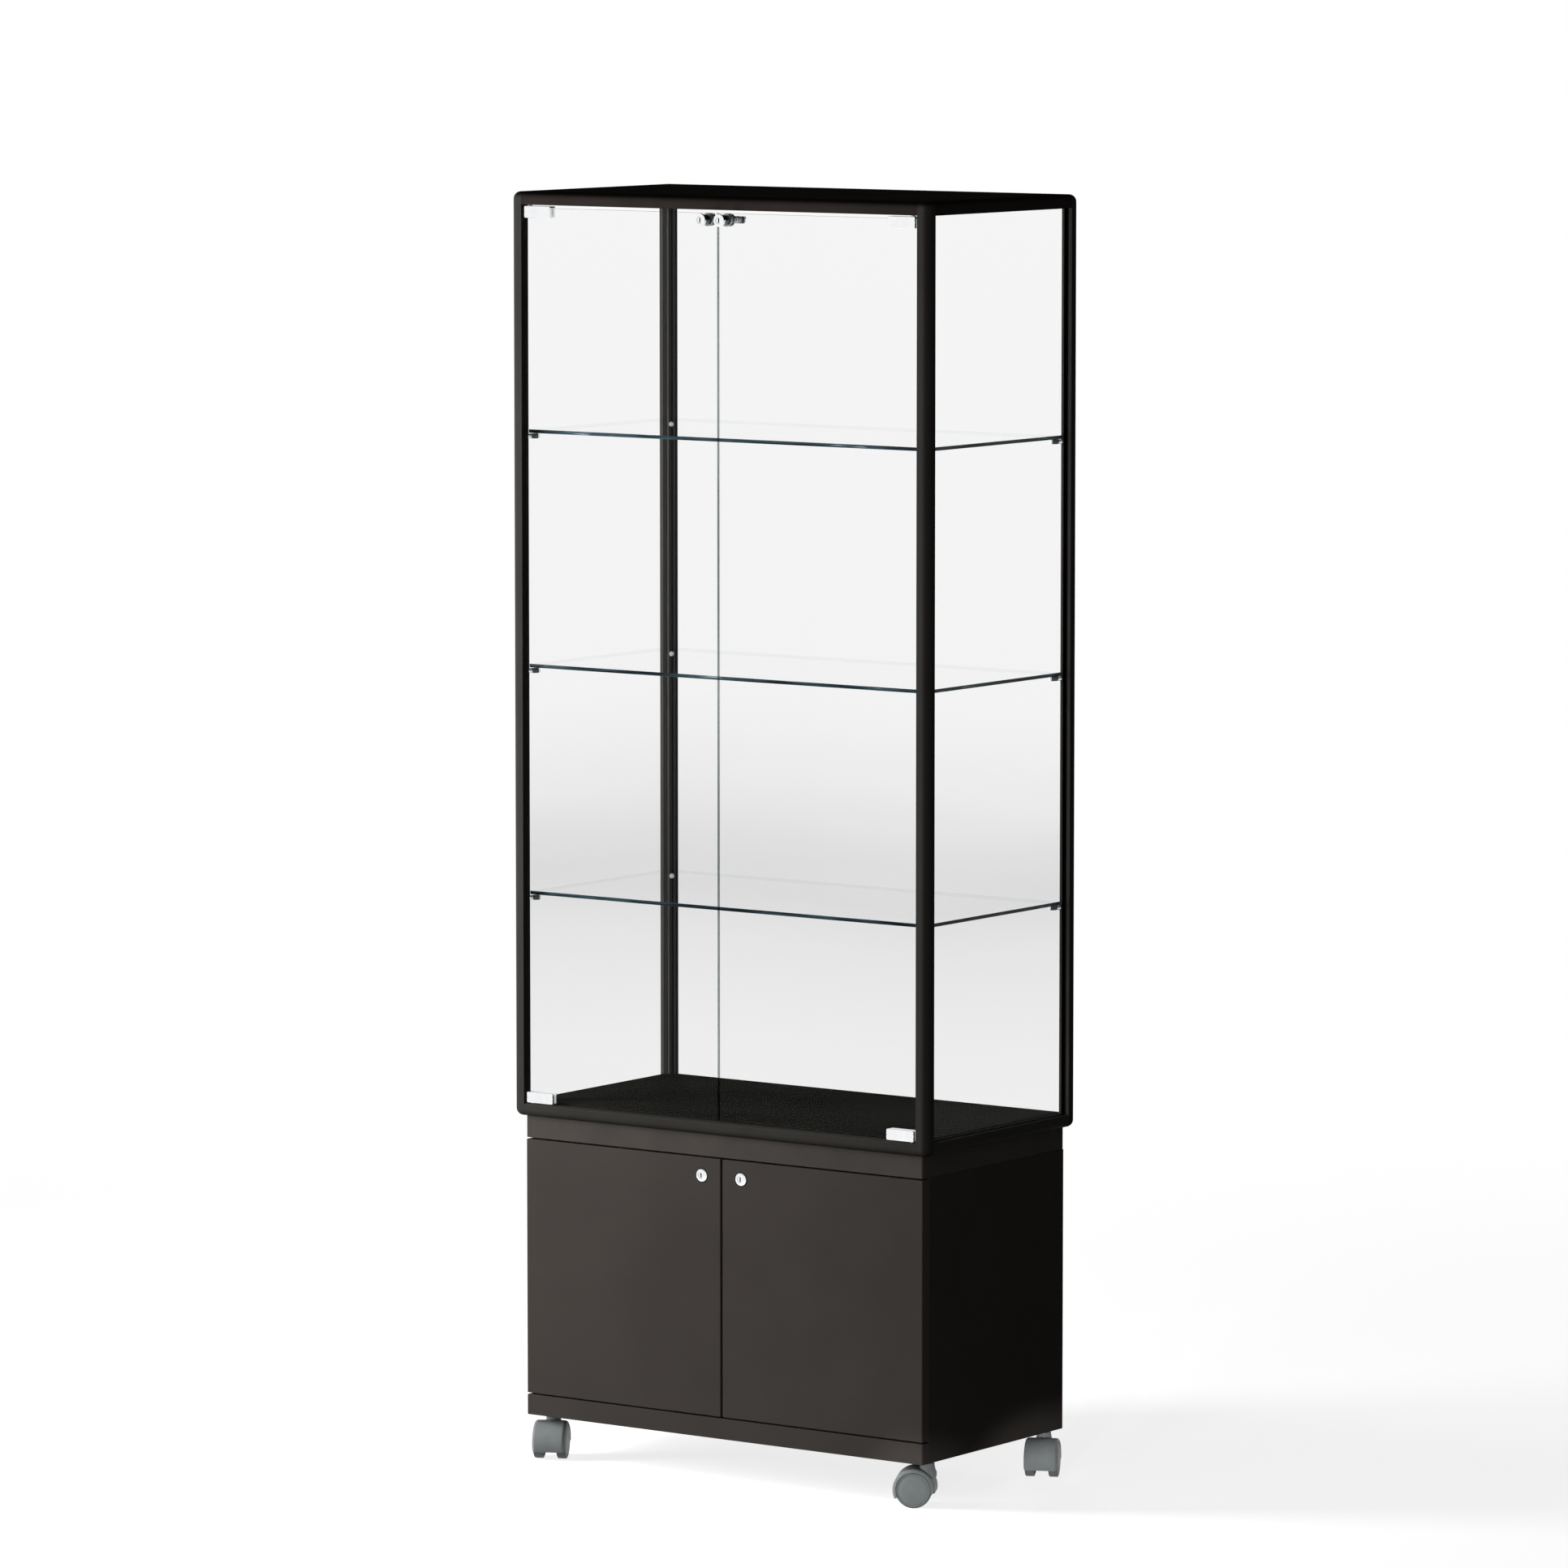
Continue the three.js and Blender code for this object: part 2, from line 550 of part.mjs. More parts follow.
function knobLockBody(side) {
  const neckFront = KNOB_FACE_Y + KNOB_FACE_THICKNESS;
  const rosetteBack = DOOR_FRONT_Y - SEAT_GAP;
  const rosetteFront = rosetteBack - KNOB_ROSETTE_THICKNESS;
  const nutFront = DOOR_BACK_Y + SEAT_GAP;
  const nutBack = nutFront + KNOB_NUT_THICKNESS;
  return lockBody([
    [KNOB_FACE_DIAMETER, KNOB_FACE_Y, neckFront],
    [KNOB_NECK_DIAMETER, neckFront, rosetteFront],
    [KNOB_ROSETTE_DIAMETER, rosetteFront, rosetteBack],
    [KNOB_BARREL_DIAMETER, rosetteBack, nutFront],
    [KNOB_NUT_DIAMETER, nutFront, nutBack],
    [KNOB_BARREL_DIAMETER, nutBack, DOOR_BACK_Y + KNOB_BARREL_BACK],
  ], side * KNOB_AXIS_X, KNOB_AXIS_Z);
}

function knobLockPlug(side) {
  return lockPlug({
    side,
    x: side * KNOB_AXIS_X,
    z: KNOB_AXIS_Z,
    face: KNOB_FACE_Y,
    camFront: KNOB_CAM_FRONT,
    camLength: KNOB_CAM_LENGTH,
    camWidth: KNOB_CAM_WIDTH,
  });
}

const CAMLOCK_FACE_Y = CUPBOARD_FRONT - SEAT_GAP - CAMLOCK_FACE_THICKNESS;
const CAMLOCK_BARREL_END = STRIKE_FRONT + STRIKE_THICKNESS;
const CAMLOCK_CAM_FRONT = CAMLOCK_BARREL_END + CAMLOCK_CAM_GAP;

function camLockBody(side) {
  const flangeBack = CUPBOARD_FRONT - SEAT_GAP;
  const clipFront = LEAF_BACK + SEAT_GAP;
  const clipBack = clipFront + CAMLOCK_CLIP_THICKNESS;
  return lockBody([
    [CAMLOCK_FACE_DIAMETER, CAMLOCK_FACE_Y, flangeBack],
    [CAMLOCK_BARREL_DIAMETER, flangeBack, clipFront],
    [CAMLOCK_CLIP_DIAMETER, clipFront, clipBack],
    [CAMLOCK_BARREL_DIAMETER, clipBack, CAMLOCK_BARREL_END],
  ], side * CAMLOCK_AXIS_X, CAMLOCK_AXIS_Z);
}

function camLockPlug(side) {
  return lockPlug({
    side,
    x: side * CAMLOCK_AXIS_X,
    z: CAMLOCK_AXIS_Z,
    face: CAMLOCK_FACE_Y,
    camFront: CAMLOCK_CAM_FRONT,
    camLength: CAMLOCK_CAM_LENGTH,
    camWidth: CAMLOCK_CAM_WIDTH,
  });
}

// ---------------------------------------------------------------- glass doors

function glassDoor(side) {
  const pane = block(
    [side * (DOOR_MEETING_GAP / 2), side * DOOR_OUTER_X],
    [DOOR_FRONT_Y, DOOR_BACK_Y],
    [DOOR_BOTTOM, DOOR_TOP],
  );
  const diameter = KNOB_BARREL_DIAMETER + 2 * KNOB_HOLE_CLEARANCE;
  const centre = [side * KNOB_AXIS_X, KNOB_AXIS_Z];
  const ends = [DOOR_FRONT_Y - CUT_OVERRUN, DOOR_BACK_Y + CUT_OVERRUN];
  return pane.subtract(rod("y", centre, diameter, ...ends, ROUND_SIDES));
}

// A clamp that grips the glass at its outer corner and turns on a pin in the rail beyond it.
function pivotClamp(side, level) {
  const glassEdge = level === UPPER ? DOOR_TOP : DOOR_BOTTOM;
  const outerZ = glassEdge + level * CLAMP_CAP;
  const innerZ = outerZ - level * CLAMP_HEIGHT;
  const outerX = side * (DOOR_OUTER_X - CLAMP_EDGE_INSET);
  const innerX = outerX - side * CLAMP_LENGTH;
  const front = DOOR_MIDDLE_Y - CLAMP_THICKNESS / 2;
  const back = DOOR_MIDDLE_Y + CLAMP_THICKNESS / 2;
  const slotHalf = GLASS / 2 + CLAMP_SLOT_CLEARANCE;
  const shell = prism(outline([
    [innerX, innerZ, CLAMP_ROUND],
    [outerX, innerZ, CLAMP_ROUND],
    [outerX, outerZ, CLAMP_ROUND],
    [innerX, outerZ, CLAMP_ROUND],
  ]), "y", front, back);
  const slot = block(
    [innerX - side * CUT_OVERRUN, outerX + side * CUT_OVERRUN],
    [DOOR_MIDDLE_Y - slotHalf, DOOR_MIDDLE_Y + slotHalf],
    [innerZ - level * CUT_OVERRUN, glassEdge + level * CLAMP_SLOT_CLEARANCE],
  );
  const pinRoot = glassEdge + level * 2 * CLAMP_SLOT_CLEARANCE;
  const pinEnds = [pinRoot, outerZ + level * PIVOT_PIN_REACH].sort((a, b) => a - b);
  const pin = rod("z", [side * PIVOT_X, DOOR_MIDDLE_Y], PIVOT_PIN_DIAMETER, ...pinEnds);
  return shell.subtract(slot).add(pin);
}

// ---------------------------------------------------------------- cupboard

function cupboardTop() {
  const round = TOP_BOARD_ROUND;
  const plan = outline([
    [-CUPBOARD_X, CUPBOARD_FRONT, round],
    [CUPBOARD_X, CUPBOARD_FRONT, round],
    [CUPBOARD_X, CUPBOARD_BACK, round],
    [-CUPBOARD_X, CUPBOARD_BACK, round],
  ]);
  return prism(plan, "z", TOP_BOARD_BOTTOM, CUPBOARD_TOP);
}

function cupboardSide(side) {
  return block(
    [side * CUPBOARD_X, side * BOARD_INNER_X],
    [BOARDS_FRONT, CUPBOARD_BACK],
    [FLOOR_CLEARANCE, TOP_BOARD_BOTTOM - SEAT_GAP],
  );
}

function cupboardBottom() {
  const reach = BOARD_INNER_X - SEAT_GAP;
  const back = CUPBOARD_BACK - BACK_BOARD - SEAT_GAP;
  return block([-reach, reach], [BOARDS_FRONT, back], [FLOOR_CLEARANCE, FLOOR_CLEARANCE + BOARD]);
}

function cupboardBack() {
  const reach = BOARD_INNER_X - SEAT_GAP;
  const heights = [FLOOR_CLEARANCE, TOP_BOARD_BOTTOM - SEAT_GAP];
  return block([-reach, reach], [CUPBOARD_BACK - BACK_BOARD, CUPBOARD_BACK], heights);
}

// A board in the plane of the doors, with its front upright edges rounded.
function frontBoard(left, right, back, bottom, top) {
  const plan = outline([
    [left, CUPBOARD_FRONT, BOARD_ROUND],
    [right, CUPBOARD_FRONT, BOARD_ROUND],
    [right, back],
    [left, back],
  ]);
  return prism(plan, "z", bottom, top);
}

function fascia() {
  const top = FLOOR_CLEARANCE + FASCIA_HEIGHT;
  return frontBoard(-CUPBOARD_X, CUPBOARD_X, CUPBOARD_FRONT + BOARD, FLOOR_CLEARANCE, top);
}

function cupboardDoor(side) {
  const [left, right] = [side * CUPBOARD_X, side * (SEAM / 2)].sort((a, b) => a - b);
  const door = frontBoard(left, right, LEAF_BACK, LEAF_BOTTOM, LEAF_TOP);
  const diameter = CAMLOCK_BARREL_DIAMETER + 2 * CAMLOCK_HOLE_CLEARANCE;
  const centre = [side * CAMLOCK_AXIS_X, CAMLOCK_AXIS_Z];
  const ends = [CUPBOARD_FRONT - CUT_OVERRUN, LEAF_BACK + CUT_OVERRUN];
  return door.subtract(rod("y", centre, diameter, ...ends, ROUND_SIDES));
}

// The arm of a concealed hinge on its plate, screwed to the side board behind the closed door.
function hingeArm(side, level) {
  const height = level === UPPER ? LEAF_TOP - HINGE_INSET : LEAF_BOTTOM + HINGE_INSET;
  const seat = side * (BOARD_INNER_X - SEAT_GAP);
  const armBack = LEAF_BACK + PANEL_GAP + HINGE_ARM_LENGTH;
  const plate = block(
    [seat, seat - side * HINGE_PLATE_THICKNESS],
    [armBack, armBack - HINGE_PLATE_LENGTH],
    [height - HINGE_PLATE_HEIGHT / 2, height + HINGE_PLATE_HEIGHT / 2],
  );
  const arm = block(
    [seat, seat - side * HINGE_ARM_REACH],
    [LEAF_BACK + PANEL_GAP, armBack],
    [height - HINGE_ARM_HEIGHT / 2, height + HINGE_ARM_HEIGHT / 2],
  );
  return plate.add(arm);
}

// The angle that both cupboard locks catch behind, screwed under the top board.
function strikePlate() {
  const top = TOP_BOARD_BOTTOM - SEAT_GAP;
  const section = outline([
    [STRIKE_FRONT, top],
    [STRIKE_FRONT + STRIKE_DEPTH, top],
    [STRIKE_FRONT + STRIKE_DEPTH, top - STRIKE_THICKNESS],
    [STRIKE_FRONT + STRIKE_THICKNESS, top - STRIKE_THICKNESS],
    [STRIKE_FRONT + STRIKE_THICKNESS, top - STRIKE_DROP],
    [STRIKE_FRONT, top - STRIKE_DROP],
  ]);
  return prism(section, "x", -STRIKE_LENGTH / 2, STRIKE_LENGTH / 2);
}

// ---------------------------------------------------------------- casters

// In a caster's own frame the swivel axis is the Z axis, and the axle lies along Y at X = CASTER_TRAIL.

function stem() {
  const flangeBottom = BOSS_TOP + BOSS_GAP;
  return stepped([
    [STEM_DIAMETER, flangeBottom - STEM_LENGTH, flangeBottom],
    [STEM_FLANGE_DIAMETER, flangeBottom, flangeBottom + STEM_FLANGE_THICKNESS],
  ], "z", [0, 0], ROUND_SIDES);
}

// Ring sector round the axle, open at the bottom, from the trailing edge over the top to the leading edge.
function hoodArc(radius, reverse) {
  const trailing = Math.asin((HOOD_FLOOR_GAP - AXLE_HEIGHT) / HOOD_OUTER_RADIUS);
  const leading = Math.PI - Math.asin((HOOD_FRONT_GAP - AXLE_HEIGHT) / HOOD_OUTER_RADIUS);
  const points = [];
  for (let step = 0; step <= HOOD_STEPS; step += 1) {
    const angle = trailing + (leading - trailing) * (step / HOOD_STEPS);
    const across = CASTER_TRAIL + radius * Math.cos(angle);
    const height = AXLE_HEIGHT + radius * Math.sin(angle);
    points.push(new THREE.Vector2(across, height));
  }
  return reverse ? points.reverse() : points;
}

function hood() {
  const webHalf = WHEEL_GAP / 2 - WEB_CLEARANCE;
  const outside = hoodArc(HOOD_OUTER_RADIUS, false);
  const shell = new THREE.Shape([...outside, ...hoodArc(HOOD_INNER_RADIUS, true)]);
  const cover = prism(shell, "y", -HOOD_WIDTH / 2, HOOD_WIDTH / 2);
  const web = prism(new THREE.Shape(outside), "y", -webHalf, webHalf);
  const stemEnd = BOSS_TOP + BOSS_GAP - STEM_LENGTH;
  const boss = rod("z", [0, 0], BOSS_DIAMETER, stemEnd, BOSS_TOP, ROUND_SIDES);
  const stemBore = STEM_DIAMETER + 2 * STEM_CLEARANCE;
  const axleBore = AXLE_DIAMETER + 2 * AXLE_CLEARANCE;
  const boreFloor = stemEnd - STEM_END_CLEARANCE;
  return cover
    .add(web)
    .add(boss)
    .subtract(rod("z", [0, 0], stemBore, boreFloor, BOSS_TOP + CUT_OVERRUN, ROUND_SIDES))
    .subtract(rod("y", [CASTER_TRAIL, AXLE_HEIGHT], axleBore, -HOOD_WIDTH, HOOD_WIDTH, WHEEL_SIDES));
}

// Both wheels on their axle, turned as one, with a facet of each tread flat on the floor.
function wheelset() {
  const facet = Math.PI / WHEEL_SIDES;
  const corner = 1 / Math.cos(facet);
  const inner = WHEEL_GAP / 2;
  const outer = inner + TREAD_WIDTH;
  const halfProfile = [
    [DISC_CROWN_RADIUS, outer + DISC_DOME],
    [DISC_RADIUS, outer],
    [WHEEL_RADIUS - TREAD_ROUND, outer],
    [WHEEL_RADIUS, outer - TREAD_ROUND],
    [WHEEL_RADIUS, inner + TREAD_ROUND],
    [WHEEL_RADIUS - TREAD_ROUND, inner],
    [AXLE_DIAMETER / 2, inner],
  ];
  const profile = [
    [0, -outer - DISC_DOME],
    ...halfProfile.map(([radius, along]) => [radius * corner, -along]),
    ...halfProfile.reverse().map(([radius, along]) => [radius * corner, along]),
    [0, outer + DISC_DOME],
  ];
  const points = profile.map(([radius, along]) => new THREE.Vector2(radius, along));
  const geometry = new THREE.LatheGeometry(points, WHEEL_SIDES);
  geometry.rotateY(facet);
  geometry.translate(CASTER_TRAIL, 0, AXLE_HEIGHT);
  return solidOf(geometry);
}

// ---------------------------------------------------------------- assembly

function addPiece(parent, name, solid, material) {
  const mesh = new THREE.Mesh(geometryOf(solid), material);
  mesh.name = name;
  parent.add(mesh);
}

// A caster, with the direction in which its wheels trail, in degrees from +X.
function addCaster(parent, name, x, y, heading) {
  const caster = new THREE.Group();
  caster.position.set(x, y, 0);
  caster.rotation.z = THREE.MathUtils.degToRad(heading);
  addPiece(caster, `${name}_caster_stem`, stem(), STEEL);
  addPiece(caster, `${name}_caster_hood`, hood(), GREY_PLASTIC);
  addPiece(caster, `${name}_caster_wheels`, wheelset(), GREY_PLASTIC);
  parent.add(caster);
}

const showcase = new THREE.Group();
showcase.position.y = CASE_SHIFT_Y;

const SIDES = [["left", LEFT], ["right", RIGHT]];
const ENDS = [["front", FRONT], ["back", BACK]];
const LEVELS = [["upper", UPPER], ["lower", LOWER]];

for (const [end, sideY] of ENDS) {
  for (const [name, sideX] of SIDES) {
    addPiece(showcase, `${end}_${name}_post`, post(sideX, sideY), BLACK_ALUMINIUM);
  }
}
addPiece(showcase, "top_front_rail", frontRail(UPPER), BLACK_ALUMINIUM);
addPiece(showcase, "top_back_rail", backRail(UPPER), BLACK_ALUMINIUM);
addPiece(showcase, "base_front_rail", frontRail(LOWER), BLACK_ALUMINIUM);
addPiece(showcase, "base_back_rail", backRail(LOWER), BLACK_ALUMINIUM);
for (const [name, side] of SIDES) {
  addPiece(showcase, `top_${name}_rail`, sideRail(side, UPPER), BLACK_ALUMINIUM);
  addPiece(showcase, `base_${name}_rail`, sideRail(side, LOWER), BLACK_ALUMINIUM);
}

addPiece(showcase, "top_panel", panel(TOP_PANEL_BOTTOM, TOP_PANEL_TOP), DARK_PANEL);
addPiece(showcase, "deck_panel", panel(DECK_BOTTOM, DECK_TOP), DARK_PANEL);
addPiece(showcase, "back_glass", backPane(), CLEAR_GLASS);
for (const [name, side] of SIDES) {
  addPiece(showcase, `${name}_side_glass`, sidePane(side), CLEAR_GLASS);
}
const SHELF_NAMES = ["lower", "middle", "upper"];
SHELF_LEVELS.forEach((level, i) => {
  addPiece(showcase, `${SHELF_NAMES[i]}_shelf`, shelf(level), CLEAR_GLASS);
});

for (const [name, side] of SIDES) {
  addPiece(showcase, `${name}_glass_door`, glassDoor(side), CLEAR_GLASS);
  for (const [levelName, level] of LEVELS) {
    addPiece(showcase, `${name}_door_${levelName}_clamp`, pivotClamp(side, level), CHROME);
  }
  addPiece(showcase, `${name}_knob_lock_body`, knobLockBody(side), CHROME);
  addPiece(showcase, `${name}_knob_lock_plug`, knobLockPlug(side), CHROME);
}

addPiece(showcase, "cupboard_top_board", cupboardTop(), BLACK_BOARD);
addPiece(showcase, "cupboard_bottom_board", cupboardBottom(), BLACK_BOARD);
addPiece(showcase, "cupboard_back_board", cupboardBack(), BLACK_BOARD);
addPiece(showcase, "cupboard_fascia", fascia(), BLACK_BOARD);
addPiece(showcase, "lock_strike_plate", strikePlate(), STEEL);
for (const [name, side] of SIDES) {
  addPiece(showcase, `cupboard_${name}_side`, cupboardSide(side), BLACK_BOARD);
  addPiece(showcase, `${name}_cupboard_door`, cupboardDoor(side), BLACK_BOARD);
  for (const [levelName, level] of LEVELS) {
    addPiece(showcase, `${name}_${levelName}_hinge_arm`, hingeArm(side, level), STEEL);
  }
  addPiece(showcase, `${name}_cupboard_lock_body`, camLockBody(side), CHROME);
  addPiece(showcase, `${name}_cupboard_lock_plug`, camLockPlug(side), CHROME);
}

addCaster(showcase, "front_left", -CASTER_X, CASTER_FRONT_Y, FRONT_LEFT_TRAIL);
addCaster(showcase, "front_right", CASTER_X, CASTER_FRONT_Y, FRONT_RIGHT_TRAIL);
addCaster(showcase, "back_right", CASTER_X, CASTER_BACK_Y, BACK_RIGHT_TRAIL);
addCaster(showcase, "back_left", -CASTER_X, CASTER_BACK_Y, BACK_LEFT_TRAIL);

export default showcase;
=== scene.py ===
"""Looks of a framed glass display case on a cupboard with casters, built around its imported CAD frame.

Metres, +Z up, front towards -Y. Every piece takes its place from the CAD node that it stands for.
"""

import json
import math

import bmesh
import bpy
from mathutils import Matrix, Vector


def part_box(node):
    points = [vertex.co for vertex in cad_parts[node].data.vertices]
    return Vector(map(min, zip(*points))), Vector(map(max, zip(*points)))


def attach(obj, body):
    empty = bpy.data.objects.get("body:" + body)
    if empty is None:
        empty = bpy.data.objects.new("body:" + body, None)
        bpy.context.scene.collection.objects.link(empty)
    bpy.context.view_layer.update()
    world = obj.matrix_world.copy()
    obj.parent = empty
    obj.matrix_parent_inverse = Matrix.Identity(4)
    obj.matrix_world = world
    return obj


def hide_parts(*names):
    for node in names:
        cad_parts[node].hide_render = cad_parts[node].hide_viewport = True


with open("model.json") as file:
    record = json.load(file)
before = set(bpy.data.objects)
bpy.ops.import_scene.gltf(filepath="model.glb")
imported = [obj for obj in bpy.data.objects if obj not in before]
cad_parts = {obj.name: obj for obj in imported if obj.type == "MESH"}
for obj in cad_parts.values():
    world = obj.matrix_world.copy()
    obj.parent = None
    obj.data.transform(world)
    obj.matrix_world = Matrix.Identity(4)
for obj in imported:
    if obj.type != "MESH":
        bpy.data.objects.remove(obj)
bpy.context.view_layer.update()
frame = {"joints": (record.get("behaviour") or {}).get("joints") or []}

MM = 0.001
JOINTS = {joint["name"]: joint for joint in frame["joints"]}
SIDES = {"left": -1, "right": 1}
ENDS = {"front": -1, "back": 1}
LEVELS = {"lower": -1, "upper": 1}
SHELVES = ("lower", "middle", "upper")
CASTERS = ("front_left", "front_right", "back_right", "back_left")
BACK = (0, 1, 0)

# --- sizes

HAIRLINE = 0.02 * MM  # keeps faces that touch from lying in one plane
OVERCUT = 1 * MM  # how far a cutter runs past the face that it opens

# Frame profile
PROFILE = 18.4 * MM
OUTER_ROUND = 10.6 * MM
POST_EDGE_ROUND = 1.5 * MM
POST_CHAMFER = 2.5 * MM
TOP_RAIL_EDGE_ROUND = 1.5 * MM
BASE_RAIL_EDGE_ROUND = 3 * MM
GROOVE_DEPTH = 5 * MM
GROOVE_HALF_WIDTH = 2.9 * MM
GROOVE_SIDE_CLEARANCE = 0.4 * MM
GROOVE_END_CLEARANCE = 0.6 * MM
LIP_CLEARANCE = 0.3 * MM  # between a rail's lip and the panel on it
TOP_LIP_THICKNESS = 4 * MM
PIVOT_HOLE_RADIUS = 2.75 * MM
PIVOT_HOLE_DEPTH = 6 * MM

# Gasket beads between the fixed panes and the frame
BEAD_PROUD = 0.6 * MM
BEAD_WIDTH = 0.9 * MM
BEAD_ROUND = 0.2 * MM

# Edges
GLASS_ARRIS = 0.45 * MM
BOARD_ARRIS = 0.6 * MM
BOARD_ROUND = 2 * MM
TOP_BOARD_ROUND = 3 * MM

# Turned profiles are lists of (radius, height), in mm. A screw is (radius, how deep its head is sunk)

# Shelf pins: root, collar, ring, sleeve and end, from the post's corner
PIN_AXIS_DROP = 4 * MM  # below the shelf's underside
PIN_PROFILE = [
    (0, -2.5), (3.375, -2.5), (3.375, 0.9), (3.75, 1.3), (3.75, 2.4), (3, 2.4), (3, 3.4), (3.6375, 3.4),
    (3.75, 3.7), (3.75, 11.6), (3.225, 11.6), (3.225, 13.1), (2.775, 13.8), (0, 13.8),
]
PIN_MARKS = [0] * 5 + [1] * 2 + [2] * 3 + [3] * 3

# Pivot clamps
CLAMP_ROUND = 2 * MM
CLAMP_ARRIS = 0.45 * MM
CLAMP_WALL = 3.55 * MM
CLAMP_RISE = 2.6 * MM  # upper clamps above the glass
CLAMP_DROP = 1.5 * MM  # lower clamps below the glass
CLAMP_GAP = 0.2 * MM  # over the edge of the glass
CLAMP_LINE = 1 * MM  # width and depth of the line across a clamp's faces
CLAMP_SCREW = (1.9 * MM, 0.15 * MM)
CLAMP_SCREW_INSET = 3.6 * MM  # from the clamp's middle height
PIVOT_PIN_RADIUS = 2.5 * MM
PIVOT_PIN_TIP_RADIUS = 2.1 * MM
PIVOT_PIN_TIP = 0.6 * MM
PIVOT_PIN_SINK = 0.6 * MM  # its head in the clamp
PIVOT_PIN_HEAD = [(0, 0), (3.75, 0), (3.75, 1.4), (2.5, 1.6)]

# Locks
KEYWAY_WIDTH = 2 * MM
KEYWAY_HEIGHT = 7 * MM
KEYWAY_DEPTH = 3 * MM
KEYWAY_MARGIN = 0.1 * MM
CAM_THICKNESS = 2.5 * MM
CAM_ARRIS = 0.25 * MM
CAM_SCREW = (3 * MM, 0.9 * MM)
PLUG_RADIUS = 3.8 * MM
PLUG_HEAD = [(0, 0), (4.5, 0), (5, 0.4), (5, 2), (3.8, 2.1)]
BORE_HEAD_RADIUS = 5.15 * MM
BORE_RADIUS = 4 * MM
BORE_STEP = 2.5 * MM
LOCK_ARRIS = 0.5 * MM
LOCK_WALL_MIDDLE = 5.5 * MM  # a radius between a lock's bore and its outside
KNOB_RADIUS = 8.75 * MM
KNOB_THICKNESS = 4 * MM
NECK_RADIUS = 7 * MM
COLLAR_RADIUS = 9 * MM
COLLAR_THICKNESS = 3 * MM
THREAD_RADIUS = 6 * MM
LOCK_GLASS_GAP = 0.2 * MM
GLASS_HOLE_RADIUS = 6.3 * MM
KNOB_WASHER = [(6.05, 0), (9, 0), (9, 0.8), (6.05, 0.8)]
KNOB_NUT = [(6.05, 0.85), (8.6, 0.85), (9, 1.2), (9, 3.6), (8.6, 4), (6.05, 4)]
BARREL_RADIUS = 7 * MM
BARREL_HOLE_RADIUS = 7.3 * MM
LOCK_CAP = [(0, 0), (6.2, 0), (7.4, 0.25), (8.5, 0.7), (9.15, 1.3), (9.3, 1.7), (9.2, 2), (7, 2)]
LOCK_CLIP = [(7.05, 0.2), (10, 0.2), (10, 1.8), (7.05, 1.8)]
# A dark ring round the cupboard lock's cap, on the door: a painted shadow
LOCK_CAP_PAINTED_SHADOW_RING = [(9.35, 1.7), (10.1, 1.9), (10.2, 2.15), (9.35, 2.15)]

# Cupboard hinges
CUP_RADIUS = 17.4 * MM
CUP_DEPTH = 11.2 * MM
CUP_CENTRE_INSET = 22.5 * MM  # from the door's outer edge
CUP_HOLE_CLEARANCE = 0.1 * MM
CUP_PROFILE = [  # heights from the door's back
    (0, -11.2), (15.9, -11.2), (17.4, -9.7), (17.4, 0.02), (16.4, 0.02), (16.4, -9.2), (14.9, -10.2),
    (0, -10.2),
]
EAR_HALF_WIDTH = 6 * MM
EAR_START = CUP_RADIUS - 0.5 * MM
EAR_END = CUP_RADIUS + 11 * MM
EAR_ROUND = 2 * MM
EAR_THICKNESS = 0.2 * MM
EAR_SCREW_PLACE = CUP_RADIUS + 5.5 * MM
EAR_SCREW = (2.8 * MM, 0.9 * MM)
PLATE_LENGTH = 44 * MM
PLATE_THICKNESS = 3 * MM
PLATE_ROUND = 5 * MM
PLATE_ARRIS = 0.4 * MM
PLATE_SCREW = (3.4 * MM, 0.4 * MM)
PLATE_SCREW_INSET = 5 * MM  # from the plate's top and foot
PLATE_SCREW_PLACE = 22 * MM  # before the plate's back end, as the next two
ARM_SCREW_PLACES = (9 * MM, 38 * MM)
ARM_SLOT_ENDS = (30 * MM, 16 * MM)
ARM_SCREW = (3 * MM, 0.8 * MM)
ARM_SLOT_DEPTH = 2.5 * MM
ARM_SLOT_HALF_WIDTH = 2.2 * MM
ARM_HALF_WIDTH = 7.5 * MM
ARM_CROWN = 3 * MM
ARM_ARRIS = 0.5 * MM
ARM_FOOT = 2 * MM  # its height over the cupboard's side, within the plate

# Strike plate
STRIKE_THICKNESS = 1.4 * MM
STRIKE_ARRIS = 0.2 * MM
STRIKE_SCREW_SHARES = (-0.36, 0.0, 0.36)  # of its width
STRIKE_SCREW_SHIFT = 2 * MM
STRIKE_SCREW = (3 * MM, 0.5 * MM)

# Casters
WHEEL_RADIUS = 25 * MM
HOOD_OUTER = 29.5 * MM
HOOD_HALF_WIDTH = 23.5 * MM
HOOD_SHOULDER_WIDTH = 4.6 * MM
HOOD_SHOULDER_DROP = 4.4 * MM
HOOD_INSIDE = [(23.5, 24.9), (23, 24.6), (22.3, 25.3), (20.6, 26.5), (18.6, 27)]  # (across, radius) in mm
HOOD_FLOOR_GAP = 12.5 * MM
HOOD_FRONT_GAP = 21 * MM
HOOD_BOSS = [  # heights from its top
    (0, -19), (13, -19), (13, -12.5), (11.6, -9.5), (10.6, -6), (10, -2.5), (10, -0.5), (9.5, 0), (0, 0),
]
WEB_HALF_WIDTH = 10.2 * MM
WEB_COVER = 1 * MM
STEM_BORE_RADIUS = 4.25 * MM
STEM_BORE_DEPTH = 20 * MM
AXLE_BORE_RADIUS = 3.25 * MM
AXLE_BORE_REACH = 30 * MM
